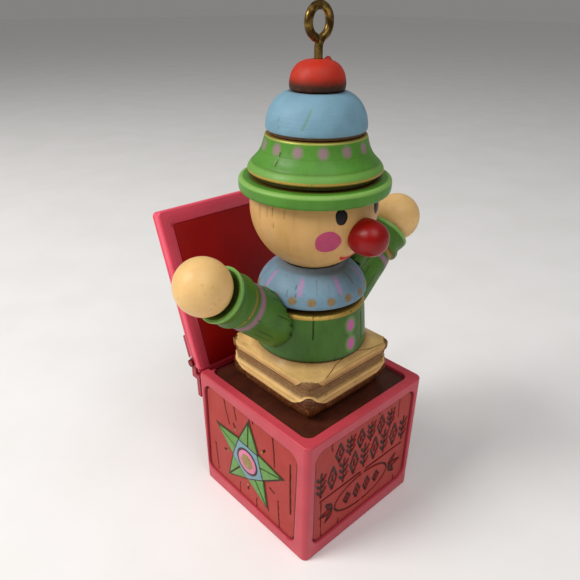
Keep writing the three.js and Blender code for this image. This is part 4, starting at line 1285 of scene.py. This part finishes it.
def pompom():
    low, high = span("pompom", "z")
    nub = math.atan2(0.732, 0.681)

    def paint(theta, r, z):
        brown = smooth((low + 2.5 - z) / 1.9)
        away = np.hypot(r * np.sin(theta - nub), r * np.cos(theta - nub) - 1.6)
        # The glued nub is raised, and painted darker as painted shade.
        bump = smooth((0.75 - away) / 0.6) * (z > 93)
        return {"depth": -0.45 * bump, "stain_and_shade": np.clip(brown + bump * 0.6, 0, 1)}

    profile = [(EYE_BORE, low), (4.5, low), (4.68, low + 0.12), (4.78, 90.3), (4.74, 91.0), (4.45, 92.2),
               (3.7, 93.3), (2.6, 93.95), (1.3, high), (EYE_BORE, high)]
    obj = turned("pompom_ball", profile, paint, bore=EYE_BORE, step=0.16)
    finish_piece(obj, POMPOM, "head", "pompom_red", "pompom")


def screw_eye():
    """Wire up the shank, over into the loop and nearly back to the shank."""
    wire, loop, centre, bottom = 0.7, 2.33, 99.45, 86.0
    neck = centre - loop
    shank = [(0, z) for z in np.linspace(bottom, neck - 1.3, 26)]
    first, last = math.radians(32), math.radians(342)
    start = np.array([loop * math.sin(first), centre - loop * math.cos(first)])
    a, b = np.array([0, neck - 1.3]), np.array([0.05, neck - 0.15])
    bend = [(1 - s) ** 2 * a + 2 * s * (1 - s) * b + s * s * start for s in np.linspace(0, 1, 12)[1:]]
    ring = [(loop * math.sin(t), centre - loop * math.cos(t)) for t in np.linspace(first, last, 90)[1:]]
    path = np.vstack([shank, bend, ring])
    turn = math.radians(-1)
    points = np.c_[path[:, 0] * math.cos(turn), path[:, 0] * math.sin(turn), path[:, 1]]
    obj = tube("eye_wire", points, wire, 24)
    finish_piece(obj, BRASS, "head", "brass", "screw_eye")


# ---- Fittings that are mostly out of sight -----------------------------------

def fittings():
    for side in ("left", "right"):
        for leaf_of, body in (("box", "root"), ("lid", "lid")):
            node = f"hinge_leaf_{leaf_of}_{side}"
            finish_piece(softened(node), HINGE_PINK, body, "pink_frame", node)
        finish_piece(softened(f"hinge_pin_{side}", 0.08), PIN, "root", "brass", f"hinge_pin_{side}")
        finish_piece(softened(f"arm_dowel_{side}"), BARE_WOOD, "jack", "plain_wood", f"arm_dowel_{side}")
    finish_piece(softened("base_plate", 0.2), LIT_PINK, "root", "pink_frame", "base_plate")
    for node, body in (("guide_tube", "root"), ("guide_rod", "jack"), ("stop_washer", "jack"),
                       ("neck_peg", "jack"), ("hat_dowel", "head")):
        finish_piece(softened(node), BARE_WOOD, body, "plain_wood", node)


# ---- Stage, light and camera -------------------------------------------------

def stage():
    size, sunk = 3000, 0.02
    points = [(-size, -size, -sunk), (size, -size, -sunk), (size, size, -sunk), (-size, size, -sunk)]
    floor = add_object("floor", points, [(0, 1, 2, 3)])
    look = Look("pale floor")
    cloud = look.ramp(look.noise(30, detail=3), 0.3, 0.7)
    colour = look.mix(cloud, rgb(248, 247, 246), rgb(252, 251, 251))
    floor.data.materials.append(look.done(colour, 0.7, specular=0.2))


def area_light(name, place, aim, size, power, colour=(1, 1, 1)):
    light = bpy.data.lights.new(name, "AREA")
    light.shape, light.size, light.energy, light.color = "DISK", size, power, colour
    obj = bpy.data.objects.new(name, light)
    bpy.context.scene.collection.objects.link(obj)
    obj.location = place
    obj.rotation_euler = (Vector(aim) - Vector(place)).to_track_quat("-Z", "Y").to_euler()


def lights():
    world = bpy.data.worlds.new("studio")
    world.use_nodes = True
    sky = world.node_tree.nodes["Background"].inputs
    sky["Color"].default_value, sky["Strength"].default_value = (1.0, 0.98, 0.95, 1), 0.23
    bpy.context.scene.world = world
    middle = (0, 0, 0.05)
    area_light("key", (-0.42, 0.2, 0.48), middle, 0.32, 2.95, (1.0, 0.98, 0.95))
    area_light("front", (-0.12, -0.3, 0.62), middle, 0.5, 1.45)


def camera():
    azimuth, elevation, roll = (math.radians(a) for a in (-42.955, 30.936, 0.379))
    right = Vector((math.cos(azimuth), math.sin(azimuth), 0))
    level = math.cos(elevation)
    back = Vector((math.sin(azimuth) * level, -math.cos(azimuth) * level, math.sin(elevation)))
    up = back.cross(right)
    turned_right = right * math.cos(roll) + up * math.sin(roll)
    turned_up = up * math.cos(roll) - right * math.sin(roll)
    data = bpy.data.cameras.new("camera")
    data.lens, data.sensor_width, data.shift_y = 34.58, 36, 0.069
    data.clip_start = 0.005
    obj = bpy.data.objects.new("camera", data)
    bpy.context.scene.collection.objects.link(obj)
    place = Matrix((turned_right, turned_up, back)).transposed().to_4x4()
    place.translation = (-0.07153, -0.07051, 0.10286)
    obj.matrix_world = place
    bpy.context.scene.camera = obj


bpy.context.scene.view_settings.view_transform = "Standard"
camera()
stage()
lights()

box_frame()
panels()
deck()
lid_frame_piece()
lid_panels()
bellows()
spring()
drum()
collar()
for arm_side, arm_sign in (("right", -1), ("left", 1)):
    sleeve(arm_sign, arm_side)
    hand(arm_sign, arm_side)
head()
face()
nose()
brim()
flare()
dome()
pompom()
screw_eye()
fittings()
